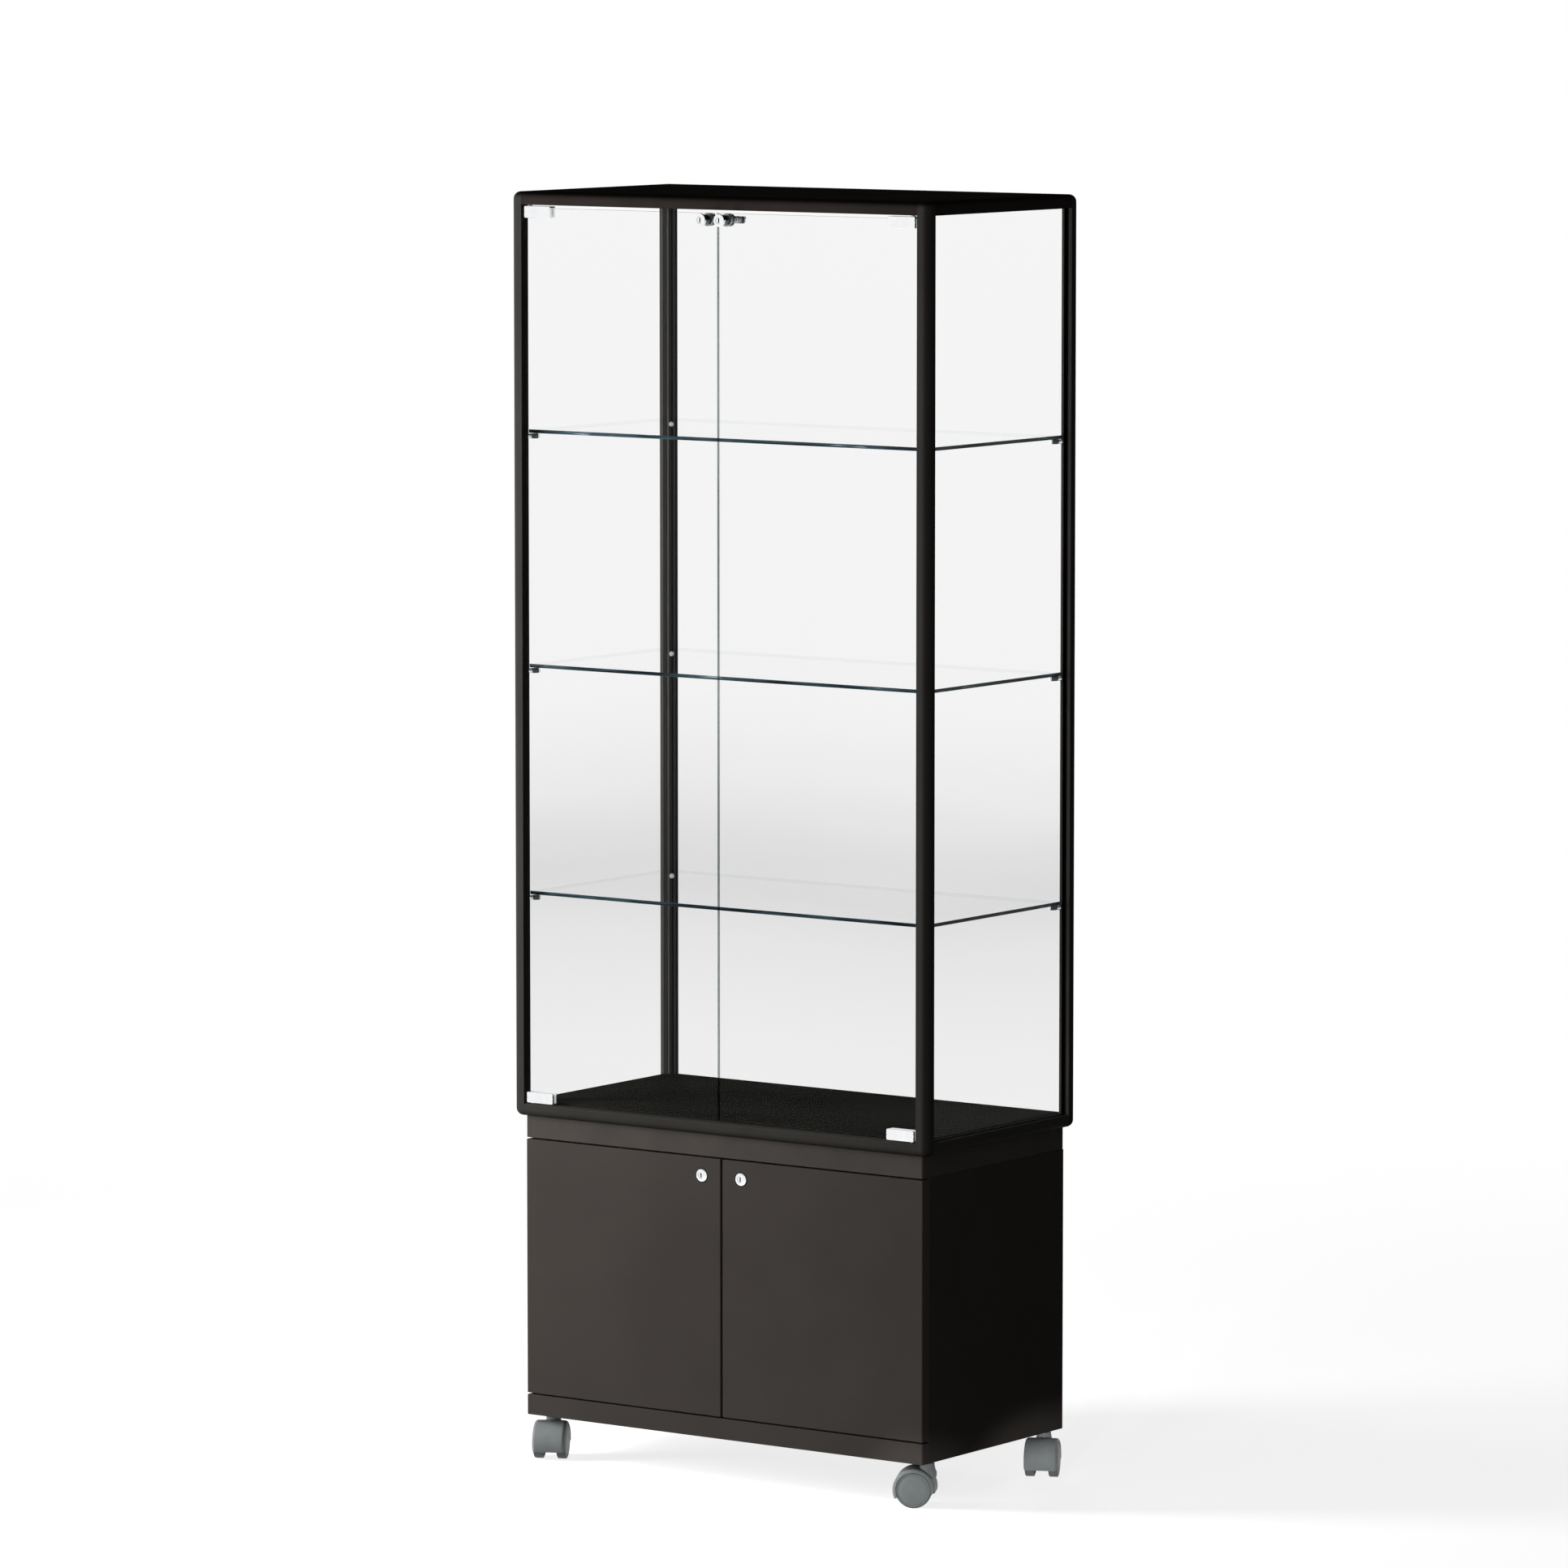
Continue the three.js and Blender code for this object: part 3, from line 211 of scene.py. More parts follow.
WHEEL_HALF = [  # heights from the middle between the wheels
    (0, 24.1), (13.5, 24.05), (16.5, 23.85), (19.2, 23.4), (20.6, 22.9), (20.9, 22.5), (21.3, 22.5),
    (21.6, 23.0), (22.3, 23.1), (22.8, 22.9), (23.9, 22.8), (24.7, 22.3), (25.0, 21.5), (25.0, 11.9),
    (24.7, 11.0), (23.8, 10.6), (21.5, 10.6), (21.0, 12.2), (7.5, 12.2), (7.0, 10.55), (3.0, 10.55),
]
WHEEL_MARKS = [0] * 9 + [1] * 7 + [0] * 4
STEM_FOOT = [(0, 0), (3.2, 0), (4, 0.8)]
STEM_FLANGE = [(4, -3), (9.4, -3), (10, -2.4), (10, -0.6), (9.4, 0), (0, 0)]  # heights from its top

# --- node trees


def add(tree, kind, inputs=None, **settings):
    """A node with its settings made, and its inputs set or linked."""
    node = tree.nodes.new("ShaderNode" + kind)
    for key, value in settings.items():
        setattr(node, key, value)
    for key, value in (inputs or {}).items():
        if isinstance(value, bpy.types.NodeSocket):
            tree.links.new(value, node.inputs[key])
        else:
            node.inputs[key].default_value = value
    return node


def math_node(tree, operation, *values):
    return add(tree, "Math", dict(enumerate(values)), operation=operation).outputs[0]


def ramp(tree, fac, stops, smooth=False):
    """A colour ramp. A stop is (position, grey) or (position, (red, green, blue))."""
    node = add(tree, "ValToRGB", {"Fac": fac})
    band = node.color_ramp
    band.interpolation = "B_SPLINE" if smooth else "LINEAR"
    while len(band.elements) < len(stops):
        band.elements.new(1.0)
    for element, (position, colour) in zip(band.elements, stops):
        element.position = position
        rgb = colour if isinstance(colour, tuple) else (colour,) * 3
        element.color = (*rgb, 1.0)
    return node.outputs["Color"]


def object_coordinates(tree, stretch=(1, 1, 1)):
    place = add(tree, "TexCoord").outputs["Object"]
    return add(tree, "Mapping", {"Vector": place, "Scale": stretch}).outputs["Vector"]


def noise(tree, place, scale, detail=3.0, roughness=0.55):
    values = {"Vector": place, "Scale": scale, "Detail": detail, "Roughness": roughness}
    return add(tree, "TexNoise", values).outputs["Fac"]


def new_material(name):
    material = bpy.data.materials.new(name)
    material.use_nodes = True
    material.node_tree.nodes.clear()
    return material, material.node_tree


def finished(tree, shader):
    add(tree, "OutputMaterial", {"Surface": shader})


def mixed(tree, share, first, second):
    """Two shaders' outputs in one: share says how much the second has of it."""
    return add(tree, "MixShader", {0: share, 1: first, 2: second}).outputs[0]


def multiplied(tree, first, second):
    values = {"Fac": 1.0, "Color1": first, "Color2": second}
    return add(tree, "MixRGB", values, blend_type="MULTIPLY").outputs[0]


def surface(name, tones, tone_scale, rough, rough_scale, grain, height, gloss=None, shade=None, **shader):
    """A solid finish: two tones that drift, a roughness that varies, and a fine relief with its height in
    mm. gloss is the share mirrored head-on and what is added at a flat angle; without it the finish mirrors
    as its index says. shade paints shade into the colour: darker where it faces up."""
    material, tree = new_material(name)
    place = object_coordinates(tree)
    drift = noise(tree, place, tone_scale, detail=4.0)
    fine = noise(tree, place, grain, detail=2.0)
    blend = math_node(tree, "MULTIPLY_ADD", fine, 0.35, math_node(tree, "MULTIPLY", drift, 0.65))
    colour = ramp(tree, blend, [(0.36, tones[0]), (0.64, tones[1])])
    # painted shade: the colour is darkened where the surface faces up
    if shade:
        up = add(tree, "SeparateXYZ", {0: add(tree, "NewGeometry").outputs["Normal"]}).outputs["Z"]
        colour = multiplied(tree, colour, ramp(tree, up, shade))
    wear = noise(tree, place, rough_scale, detail=3.0)
    roughness = ramp(tree, wear, [(0.3, rough[0]), (0.7, rough[1])])
    bump = {"Height": fine, "Distance": height * MM, "Strength": 1.0}
    relief = add(tree, "Bump", bump).outputs["Normal"]
    values = {"Base Color": colour, "Roughness": roughness, "Normal": relief, **shader}
    if gloss:
        values["Specular IOR Level"] = 0.0
    shown = add(tree, "BsdfPrincipled", values).outputs["BSDF"]
    if gloss:
        mirror = add(tree, "BsdfGlossy", {"Roughness": roughness, "Normal": relief})
        shown = mixed(tree, mirrored_share(tree, *gloss), shown, mirror.outputs[0])
    finished(tree, shown)
    return material


def painted_glow(red, green, blue, strength):
    """Shader values for a faint glow of a finish's own: painted light, not a lamp."""
    return {"Emission Color": (red, green, blue, 1.0), "Emission Strength": strength}


def mirrored_share(tree, head_on, flat):
    """How much a surface mirrors: head_on, and up to flat more towards a flat angle."""
    angle = add(tree, "LayerWeight", {"Blend": 0.5}).outputs["Facing"]
    return math_node(tree, "MULTIPLY_ADD", math_node(tree, "POWER", angle, 5.0), flat, head_on)


def glass_face(name, tints, head_on, flat):
    """Thin clear glass: it tints what is behind it a little, by height, and mirrors more at a flat
    angle. Only faces that are seen from outside the sheet mirror. The panes' tint holds a darker band of
    painted shade."""
    material, tree = new_material(name)
    place = object_coordinates(tree)
    height = add(tree, "SeparateXYZ", {0: place}).outputs["Z"]
    cloud = noise(tree, place, 1.3, detail=1.0)
    drift = math_node(tree, "MULTIPLY_ADD", cloud, 0.1, height)
    span = {"Value": drift, "From Min": TINT_SPAN[0], "From Max": TINT_SPAN[1]}
    tint = ramp(tree, add(tree, "MapRange", span).outputs["Result"], tints)
    clear = add(tree, "BsdfTransparent", {"Color": tint})
    mirror = add(tree, "BsdfGlossy", {"Color": (1, 1, 1, 1), "Roughness": 0.015})
    outside = math_node(tree, "SUBTRACT", 1.0, add(tree, "NewGeometry").outputs["Backfacing"])
    share = math_node(tree, "MULTIPLY", mirrored_share(tree, head_on, flat), outside)
    finished(tree, mixed(tree, share, clear.outputs[0], mirror.outputs[0]))
    return material


def glass_edge(name, fineness, stops, glow=0.0):
    """An edge of a sheet, streaked, and nearly clear from within the sheet. With a glow its colour also
    glows, as painted light; without one it shows what is behind it, dimmed."""
    material, tree = new_material(name)
    streak = noise(tree, object_coordinates(tree, fineness), 1.0, detail=2.0, roughness=0.6)
    colour = ramp(tree, streak, stops)
    if glow:
        shine = {"Base Color": colour, "Roughness": 0.2, "Specular IOR Level": 0.1}
        # the glow is painted light
        shine.update({"Emission Color": colour, "Emission Strength": glow})
        outside = add(tree, "BsdfPrincipled", shine)
    else:
        outside = add(tree, "BsdfTransparent", {"Color": colour})
    clear = add(tree, "BsdfTransparent", {"Color": (0.90, 0.93, 0.93, 1)})
    inside = add(tree, "NewGeometry").outputs["Backfacing"]
    finished(tree, mixed(tree, inside, outside.outputs[0], clear.outputs[0]))
    return material


TINT_SPAN = (0.4, 1.9)  # heights that the tints below run between
# The panes' tint: darker in a band about 0.7 to 1.1 m up, painted shade in the glass
PANE_TINTS_PAINTED_SHADE = [
    (0.0, 0.965), (0.137, 0.962), (0.23, 0.949), (0.277, 0.938), (0.322, 0.916), (0.347, 0.924),
    (0.371, 0.935), (0.393, 0.951), (0.418, 0.956), (0.441, 0.964), (0.49, 0.973), (1.0, 0.978),
]
SHELF_TINTS = [(0.0, 0.990), (1.0, 0.994)]
SHELF_STREAKS = [
    (0.40, (0.002, 0.007, 0.010)), (0.54, (0.030, 0.062, 0.078)), (0.63, (0.030, 0.062, 0.078)),
    (0.70, (0.42, 0.47, 0.50)),
]
DOOR_STREAKS = [(0.36, (0.22, 0.25, 0.247)), (0.64, (0.36, 0.39, 0.388))]

# Painted shade: how much of its tone a dark paint keeps, from upright faces (0) to faces that look
# straight up (1)
TOP_SHADE = [(0.0, 1.0), (0.35, 0.85), (0.75, 0.12), (1.0, 0.10)]
SATIN = ((0.40, 0.52), 35.0, 2600.0, 0.012)

FRAME = surface(
    "satin_brown_black_paint", ((0.037, 0.0345, 0.032), (0.047, 0.044, 0.0415)), 9, *SATIN,
    gloss=(0.002, 0), shade=TOP_SHADE,
)
# A paler copy of the frame's paint for the back left post: painted light
FRAME_PAINTED_LIGHT = surface(
    "satin_frame_paint_painted_light", ((0.052, 0.0505, 0.048), (0.062, 0.0605, 0.057)), 9, *SATIN,
    gloss=(0.008, 0),
)
# The back left post's groove faces, which glow a little: painted light on the grooves seen through the glass
GROOVE_PAINTED_GLOW = surface(
    "grey_groove_painted_glow", ((0.04, 0.039, 0.037), (0.05, 0.049, 0.047)), 60,
    (0.55, 0.7), 80, 3000, 0.01, gloss=(0.002, 0), **painted_glow(0.06, 0.058, 0.055, 0.5),
)
# A darker copy of the frame's paint for the top rails: painted shade, as the top rails get less light
FRAME_TOP_PAINTED_SHADE = surface(
    "dark_frame_paint_painted_shade", ((0.023, 0.019, 0.0172), (0.031, 0.0255, 0.0232)), 9, *SATIN,
    gloss=(0.002, 0), shade=TOP_SHADE,
)
# The frame's paint for the base rails: its slightly darker tone is painted shade, and its smoother gloss is
# the shader's
FRAME_BASE_PAINTED_SHADE = surface(
    "satin_frame_paint_base_painted_shade", ((0.033, 0.0316, 0.0285), (0.0425, 0.0405, 0.037)), 9,
    (0.34, 0.46), 35, 2600, 0.012, gloss=(0.003, 0.05),
)
PANEL = surface(
    "black_panel_laminate", ((0.006, 0.005, 0.0042), (0.012, 0.01, 0.0085)), 7,
    (0.5, 0.62), 40, 2200, 0.015, gloss=(0.0015, 0.002),
)
DECK = surface(
    "deck_laminate", ((0.013, 0.0138, 0.0112), (0.023, 0.024, 0.02)), 5,
    (0.3, 0.42), 30, 2200, 0.012, gloss=(0.002, 0.004),
)
BOARD = surface(
    "brown_black_laminate", ((0.0525, 0.0458, 0.0415), (0.064, 0.0563, 0.051)), 4,
    (0.52, 0.66), 25, 1900, 0.022, gloss=(0.003, 0.02),
)
BOARD_EDGE = surface(
    "edge_band", ((0.058, 0.051, 0.0465), (0.073, 0.065, 0.059)), 12,
    (0.42, 0.52), 60, 2400, 0.01, gloss=(0.005, 0.04),
)
# The shelf pins' ends, which glow a little: a painted glint
PIN_END_PAINTED_GLINT = surface(
    "polished_pin_end_painted_glint", ((0.7, 0.71, 0.72), (0.82, 0.83, 0.84)), 300,
    (0.2, 0.3), 240, 1500, 0.003, **painted_glow(0.8, 0.81, 0.82, 0.55),
)
# The faces inside a clamp's slot, which glow a little: painted light in the slot
CLAMP_PAD_PAINTED_GLOW = surface(
    "pale_clamp_pad_painted_glow", ((0.5, 0.51, 0.51), (0.6, 0.61, 0.61)), 200,
    (0.45, 0.6), 240, 1500, 0.004, **painted_glow(0.55, 0.56, 0.56, 0.45),
)
RUBBER = surface(
    "black_gasket_rubber", ((0.004, 0.004, 0.004), (0.008, 0.008, 0.008)), 60,
    (0.6, 0.75), 80, 3000, 0.01, gloss=(0.002, 0.01),
)
CHROME = surface(
    "bright_chrome", ((0.86, 0.87, 0.88), (0.94, 0.95, 0.96)), 40,
    (0.07, 0.16), 220, 900, 0.0012, Metallic=1,
)
# A dark copy of the chrome for the knob's neck: painted shade
KNOB_NECK_PAINTED_SHADE = surface(
    "knob_neck_painted_shade", ((0.05, 0.068, 0.07), (0.1, 0.125, 0.128)), 140,
    (0.22, 0.34), 240, 1200, 0.003, Metallic=1,
)
# A grey copy of the chrome for the knob's collar: painted shade
KNOB_COLLAR_PAINTED_SHADE = surface(
    "knob_collar_painted_shade", ((0.2, 0.235, 0.24), (0.34, 0.375, 0.38)), 180,
    (0.2, 0.32), 240, 1200, 0.003, Metallic=1,
)
ZINC = surface(
    "zinc_plate", ((0.36, 0.37, 0.38), (0.56, 0.57, 0.58)), 160,
    (0.26, 0.4), 240, 1500, 0.006, Metallic=1,
)
# The keyway's faces, near black: painted shade in the slot
KEYWAY_PAINTED_SHADE = surface(
    "keyway_painted_shade", ((0.01, 0.01, 0.011), (0.022, 0.022, 0.024)), 300,
    (0.5, 0.7), 300, 2000, 0.01, gloss=(0.01, 0.02),
)
NYLON = surface(
    "moulded_grey_nylon", ((0.215, 0.235, 0.24), (0.265, 0.285, 0.29)), 45,
    (0.38, 0.5), 120, 1800, 0.012,
)
TREAD = surface(
    "grey_tread", ((0.12, 0.132, 0.136), (0.165, 0.178, 0.182)), 90,
    (0.5, 0.66), 160, 1600, 0.02,
)
SLEEVE = surface(
    "clear_grey_sleeve", ((0.085, 0.12, 0.128), (0.15, 0.19, 0.2)), 260,
    (0.2, 0.3), 300, 1500, 0.008,
)
PANE = glass_face("pane_glass_face", PANE_TINTS_PAINTED_SHADE, 0.003, 0.3)
SHELF = glass_face("shelf_glass_face", SHELF_TINTS, 0.005, 0.7)
# The edges of the shelves and the fixed panes, which glow a little: painted light
GLASS_EDGE_PAINTED_GLOW = glass_edge("glass_edge_painted_glow", (9, 9, 240), SHELF_STREAKS, glow=0.15)
DOOR_EDGE = glass_edge("door_glass_edge", (60, 60, 3), DOOR_STREAKS)

# --- meshes


def block(low, high):
    """A box between two corners, given in any order."""
    bm = bmesh.new()
    bmesh.ops.create_cube(bm, size=1.0)
    low, high = Vector(low), Vector(high)
    spread = Vector([abs(b - a) for a, b in zip(low, high)])
    place = Matrix.Translation((low + high) / 2) @ Matrix.Diagonal(spread).to_4x4()
    bmesh.ops.transform(bm, matrix=place, verts=bm.verts)
    return bm


def bevel(bm, edges, radius, segments=3):
    bmesh.ops.bevel(
        bm, geom=list(edges), offset=radius, offset_type="OFFSET", segments=segments,
        profile=0.5, affect="EDGES", clamp_overlap=True,
    )


def sharp_edges(bm, angle=30):
    limit = math.radians(angle)
    return [e for e in bm.edges if len(e.link_faces) == 2 and e.calc_face_angle() > limit]


def edges_at(bm, **planes):
    """The edges that lie whole in every given plane, such as x=0.3, y=0.1."""
    axes = {"x": 0, "y": 1, "z": 2}

    def held(edge):
        return all(
            abs(v.co[axes[axis]] - value) < HAIRLINE / 2
            for v in edge.verts
            for axis, value in planes.items()
        )

    return [e for e in bm.edges if held(e)]


def outline(corners, steps=10):
    """A right-angled outline. A corner is (u, v) or, where it is rounded, (u, v, radius)."""
    points = []
    for i, corner in enumerate(corners):
        here = Vector(corner[:2])
        if len(corner) == 2:
            points.append(here)
            continue
        radius = corner[2]
        back = (Vector(corners[i - 1][:2]) - here).normalized() * radius
        ahead = (Vector(corners[(i + 1) % len(corners)][:2]) - here).normalized() * radius
        centre = here + back + ahead
        for step in range(steps + 1):
            angle = step / steps * math.pi / 2
            points.append(centre - ahead * math.cos(angle) - back * math.sin(angle))
    return points


def prism(points, axis, start, end):
    """An outline pushed along an axis. It lies in (Y, Z) for x, in (X, Z) for y and in (X, Y) for z."""
    place = {
        "x": lambda u, v, w: (w, u, v),
        "y": lambda u, v, w: (u, w, v),
        "z": lambda u, v, w: (u, v, w),
    }[axis]
    bm = bmesh.new()
    rings = [[bm.verts.new(place(u, v, w)) for u, v in points] for w in (start, end)]
    bm.faces.new(rings[0])
    bm.faces.new(reversed(rings[1]))
    for i in range(len(points)):
        j = (i + 1) % len(points)
        bm.faces.new((rings[0][j], rings[0][i], rings[1][i], rings[1][j]))
    bmesh.ops.recalc_face_normals(bm, faces=bm.faces)
    return bm


def facing(direction, origin):
    """The placement whose Z axis points along direction from origin."""
    turn = Vector(direction).to_track_quat("Z", "Y").to_matrix().to_4x4()
    return Matrix.Translation(origin) @ turn


def turned(profile, place, sides=48, marks=None, closed=False):
    """A profile of (radius, height) turned about its placement's Z axis. marks gives the material number
    of each stretch of the profile, and closed joins the profile's end to its start."""
    bm = bmesh.new()
    rings = []
    for radius, height in profile:
        if radius < HAIRLINE:
            rings.append([bm.verts.new(place @ Vector((0, 0, height)))])
            continue
        angles = [2 * math.pi * k / sides for k in range(sides)]
        rings.append([
            bm.verts.new(place @ Vector((radius * math.cos(a), radius * math.sin(a), height)))
            for a in angles
        ])
    pairs = list(zip(rings, rings[1:]))
    if closed:
        pairs.append((rings[-1], rings[0]))
    for n, (first, second) in enumerate(pairs):
        for k in range(sides):
            j = (k + 1) % sides
            if len(first) == 1 and len(second) == 1:
                break
            if len(first) == 1:
                face = bm.faces.new((first[0], second[k], second[j]))
            elif len(second) == 1:
                face = bm.faces.new((first[k], second[0], first[j]))
            else:
                face = bm.faces.new((first[k], second[k], second[j], first[j]))
            face.material_index = marks[n] if marks else 0
    bmesh.ops.recalc_face_normals(bm, faces=bm.faces)
    return bm


def in_mm(profile, start=0.0):
    """A profile in mm turned into one in metres, with its heights counted from start."""
    return [(radius * MM, start + height * MM) for radius, height in profile]


def rod(radius, start, end, place=Matrix(), sides=48):
    """A plain cylinder along its placement's Z axis."""
    return turned([(0, start), (radius, start), (radius, end), (0, end)], place, sides)


def rounded_rectangle(first, second, radius, steps):
    """The outline of a rectangle between two opposite corners, with every corner rounded."""
    (u0, v0), (u1, v1) = first, second
    corners = [(u0, v0, radius), (u1, v0, radius), (u1, v1, radius), (u0, v1, radius)]
    return outline(corners, steps)


def thinnest(low, high, count=3):
    """The axis along which a box is thinnest, out of the first count axes."""
    return min(range(count), key=lambda axis: high[axis] - low[axis])


def swept(section, start, end, steps):
    """A closed section of (Y, radius) swept about the Y axis, with closed ends."""
    bm = bmesh.new()
    rings = []
    for step in range(steps + 1):
        angle = start + (end - start) * step / steps
        rings.append([
            bm.verts.new((radius * math.cos(angle), y, radius * math.sin(angle)))
            for y, radius in section
        ])
    for first, second in zip(rings, rings[1:]):
        for i in range(len(section)):
            j = (i + 1) % len(section)
            bm.faces.new((first[i], first[j], second[j], second[i]))
    bm.faces.new(rings[0])
    bm.faces.new(reversed(rings[-1]))
    bmesh.ops.recalc_face_normals(bm, faces=bm.faces)
    return bm


def rounded_steps(steps, arris, segments=3):
    """A turned profile of plain steps, each (radius, from, to), with its outer rims rounded by arris."""
    profile = [(0, steps[0][1])]
    for radius, start, end in steps:
        quarter = [k / segments * math.pi / 2 for k in range(segments + 1)]
        inner = radius - arris
        profile += [(inner + arris * math.sin(a), start + arris * (1 - math.cos(a))) for a in quarter]
        profile += [(inner + arris * math.cos(a), end - arris * (1 - math.sin(a))) for a in quarter]
    profile.append((0, steps[-1][2]))
    return profile


def joined(*parts):
    """One mesh of several, each left as it is."""
    whole = bmesh.new()
    for part in parts:
        mesh = bpy.data.meshes.new("part")
        part.to_mesh(mesh)
        part.free()
        whole.from_mesh(mesh)
        bpy.data.meshes.remove(mesh)
    return whole


def shaped(base, operation, tools):
    """The base with each tool cut from it (DIFFERENCE) or united with it (UNION)."""
    scene = bpy.context.scene
    loose = []
    for bm in (base, *tools):
        mesh = bpy.data.meshes.new("shaping")
        bm.to_mesh(mesh)
        bm.free()
        loose.append(bpy.data.objects.new("shaping", mesh))
        scene.collection.objects.link(loose[-1])
    for tool in loose[1:]:
        step = loose[0].modifiers.new("shape", "BOOLEAN")
        step.operation = operation
        step.solver = "EXACT"
        step.object = tool
    depsgraph = bpy.context.evaluated_depsgraph_get()
    result = bmesh.new()
    result.from_mesh(loose[0].evaluated_get(depsgraph).to_mesh())
    for obj in loose:
        mesh = obj.data
        bpy.data.objects.remove(obj)
        bpy.data.meshes.remove(mesh)
    return result


def cut(base, *tools):
    return shaped(base, "DIFFERENCE", tools)


def united(base, *tools):
    return shaped(base, "UNION", tools)


def moved(bm, place):
    bmesh.ops.transform(bm, matrix=place, verts=bm.verts)
    return bm


def painted(bm, index, chosen=lambda face: True):
    """Gives the chosen faces a material number."""
    for face in bm.faces:
        if chosen(face):
            face.material_index = index
    return bm


def piece(name, bm, materials, body, slot, *nodes, smooth=35):
    """A finished piece that rides on a body and stands for its CAD nodes."""
    bmesh.ops.dissolve_degenerate(bm, dist=HAIRLINE / 20, edges=bm.edges)
    mesh = bpy.data.meshes.new(name)
    bm.to_mesh(mesh)
    bm.free()
    for material in materials:
        mesh.materials.append(material)
    mesh.shade_smooth()
    mesh.set_sharp_from_angle(angle=math.radians(smooth))
    obj = bpy.data.objects.new(name, mesh)
    bpy.context.scene.collection.objects.link(obj)
    weighted = obj.modifiers.new("even_shading", "WEIGHTED_NORMAL")
    weighted.keep_sharp = True
    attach(obj, body)
    if nodes:
        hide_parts(*nodes)
    return obj


def screw(direction, spot, size, index):
    """A flat screw head with a cross recess, sunk in the surface at spot and facing along direction. index
    is its material number."""
    radius, sink = size
    place = facing(direction, Vector(spot) - Vector(direction) * sink)
    height = radius * 0.4
    profile = [(0, 0), (radius, 0), (radius, height * 0.5), (radius * 0.72, height), (0, height)]
    reach = radius * 0.6
    half = radius * 0.14
    floor = height * 0.45
    cross = [block((-u, -v, floor), (u, v, height * 2)) for u, v in ((reach, half), (half, reach))]
    head = cut(turned(profile, Matrix(), sides=24), *cross)
    return painted(moved(head, place), index)


def door_axis(joint):
    """Where a lock's joint goes through its door, as x and z, and a placement there that faces back."""
    x, _, z = JOINTS[joint]["pos_m"]
    return x, z, facing(BACK, (x, 0, z))


# --- frame


def pane_groove(node):
    """The space that a fixed pane's groove takes round it."""
    low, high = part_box(node)
    spread = Vector([GROOVE_END_CLEARANCE] * 3)
    spread[thinnest(low, high, 2)] = GROOVE_SIDE_CLEARANCE
    return block(low - spread, high + spread)


def within(face, low, high):
    centre = face.calc_center_median()
    return all(a - HAIRLINE < c < b + HAIRLINE for a, c, b in zip(low, centre, high))


def post(end, side):
    """A corner post with its pane grooves and shelf pins. The one at the back left has a paler copy of the
    paint and a faint glow in its grooves, both painted light.
    """
    node = f"{end}_{side}_post"
    low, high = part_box(node)
    sx = SIDES[side]
    sy = ENDS[end]
    outer_x = high.x if sx > 0 else low.x
    outer_y = high.y if sy > 0 else low.y
    inner_x = outer_x - sx * PROFILE
    inner_y = outer_y - sy * PROFILE
    bm = block((inner_x, inner_y, low.z), (outer_x, outer_y, high.z))
    for level in (low.z + PROFILE, high.z - PROFILE):
        geometry = bm.verts[:] + bm.edges[:] + bm.faces[:]
        bmesh.ops.bisect_plane(bm, geom=geometry, plane_co=(0, 0, level), plane_no=(0, 0, 1))
    rounds = set(edges_at(bm, x=outer_x, y=outer_y))
    for z in (low.z, high.z):
        rounds.update(edges_at(bm, x=outer_x, z=z))
        rounds.update(edges_at(bm, y=outer_y, z=z))
    bevel(bm, rounds, OUTER_ROUND, 12)

    def between_rails(edge):
        heights = [v.co.z for v in edge.verts]
        return min(heights) > low.z + PROFILE / 2 and max(heights) < high.z - PROFILE / 2

    for x, y in ((inner_x, outer_y), (outer_x, inner_y)):
        bevel(bm, filter(between_rails, edges_at(bm, x=x, y=y)), POST_EDGE_ROUND, 4)
    bevel(bm, filter(between_rails, edges_at(bm, x=inner_x, y=inner_y)), POST_CHAMFER, 1)
    grooves = [pane_groove(f"{side}_side_glass")]
    if end == "back":
        grooves.append(pane_groove("back_glass"))
    spaces = [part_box(f"{side}_side_glass"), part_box("back_glass")]
    spread = Vector([GROOVE_END_CLEARANCE] * 3)

    def in_groove(face):
        centre = face.calc_center_median()
        if abs(centre.x - inner_x) < HAIRLINE or abs(centre.y - inner_y) < HAIRLINE:
            return False
        return any(within(face, a - spread, b + spread) for a, b in spaces)

    bm = painted(cut(bm, *grooves), 1, in_groove)
    # the back left post takes painted light: a paler paint and a glow in its grooves; the others take plain
    # paint and rubber in the grooves
    finishes = [FRAME_PAINTED_LIGHT, GROOVE_PAINTED_GLOW] if (end, side) == ("back", "left") else [FRAME, RUBBER]
    piece(f"{node}_profile", bm, finishes, "root", "frame_finish", node)
    for shelf in SHELVES:
        shelf_pin(f"{end}_{side}_{shelf}_shelf_pin", shelf, (inner_x, inner_y), (-sx, -sy))


def shelf_pin(name, shelf, corner, inward):
    """A sleeved pin that stands out of a post's inner corner, with a bright collar, and an end that glows
    with a painted glint.
    """
    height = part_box(f"{shelf}_shelf")[0].z - PIN_AXIS_DROP
    place = facing((*inward, 0), (*corner, height))
    bm = turned(in_mm(PIN_PROFILE), place, sides=28, marks=PIN_MARKS)
    piece(name, bm, [CHROME, RUBBER, SLEEVE, PIN_END_PAINTED_GLINT], "root", "chrome_fittings")


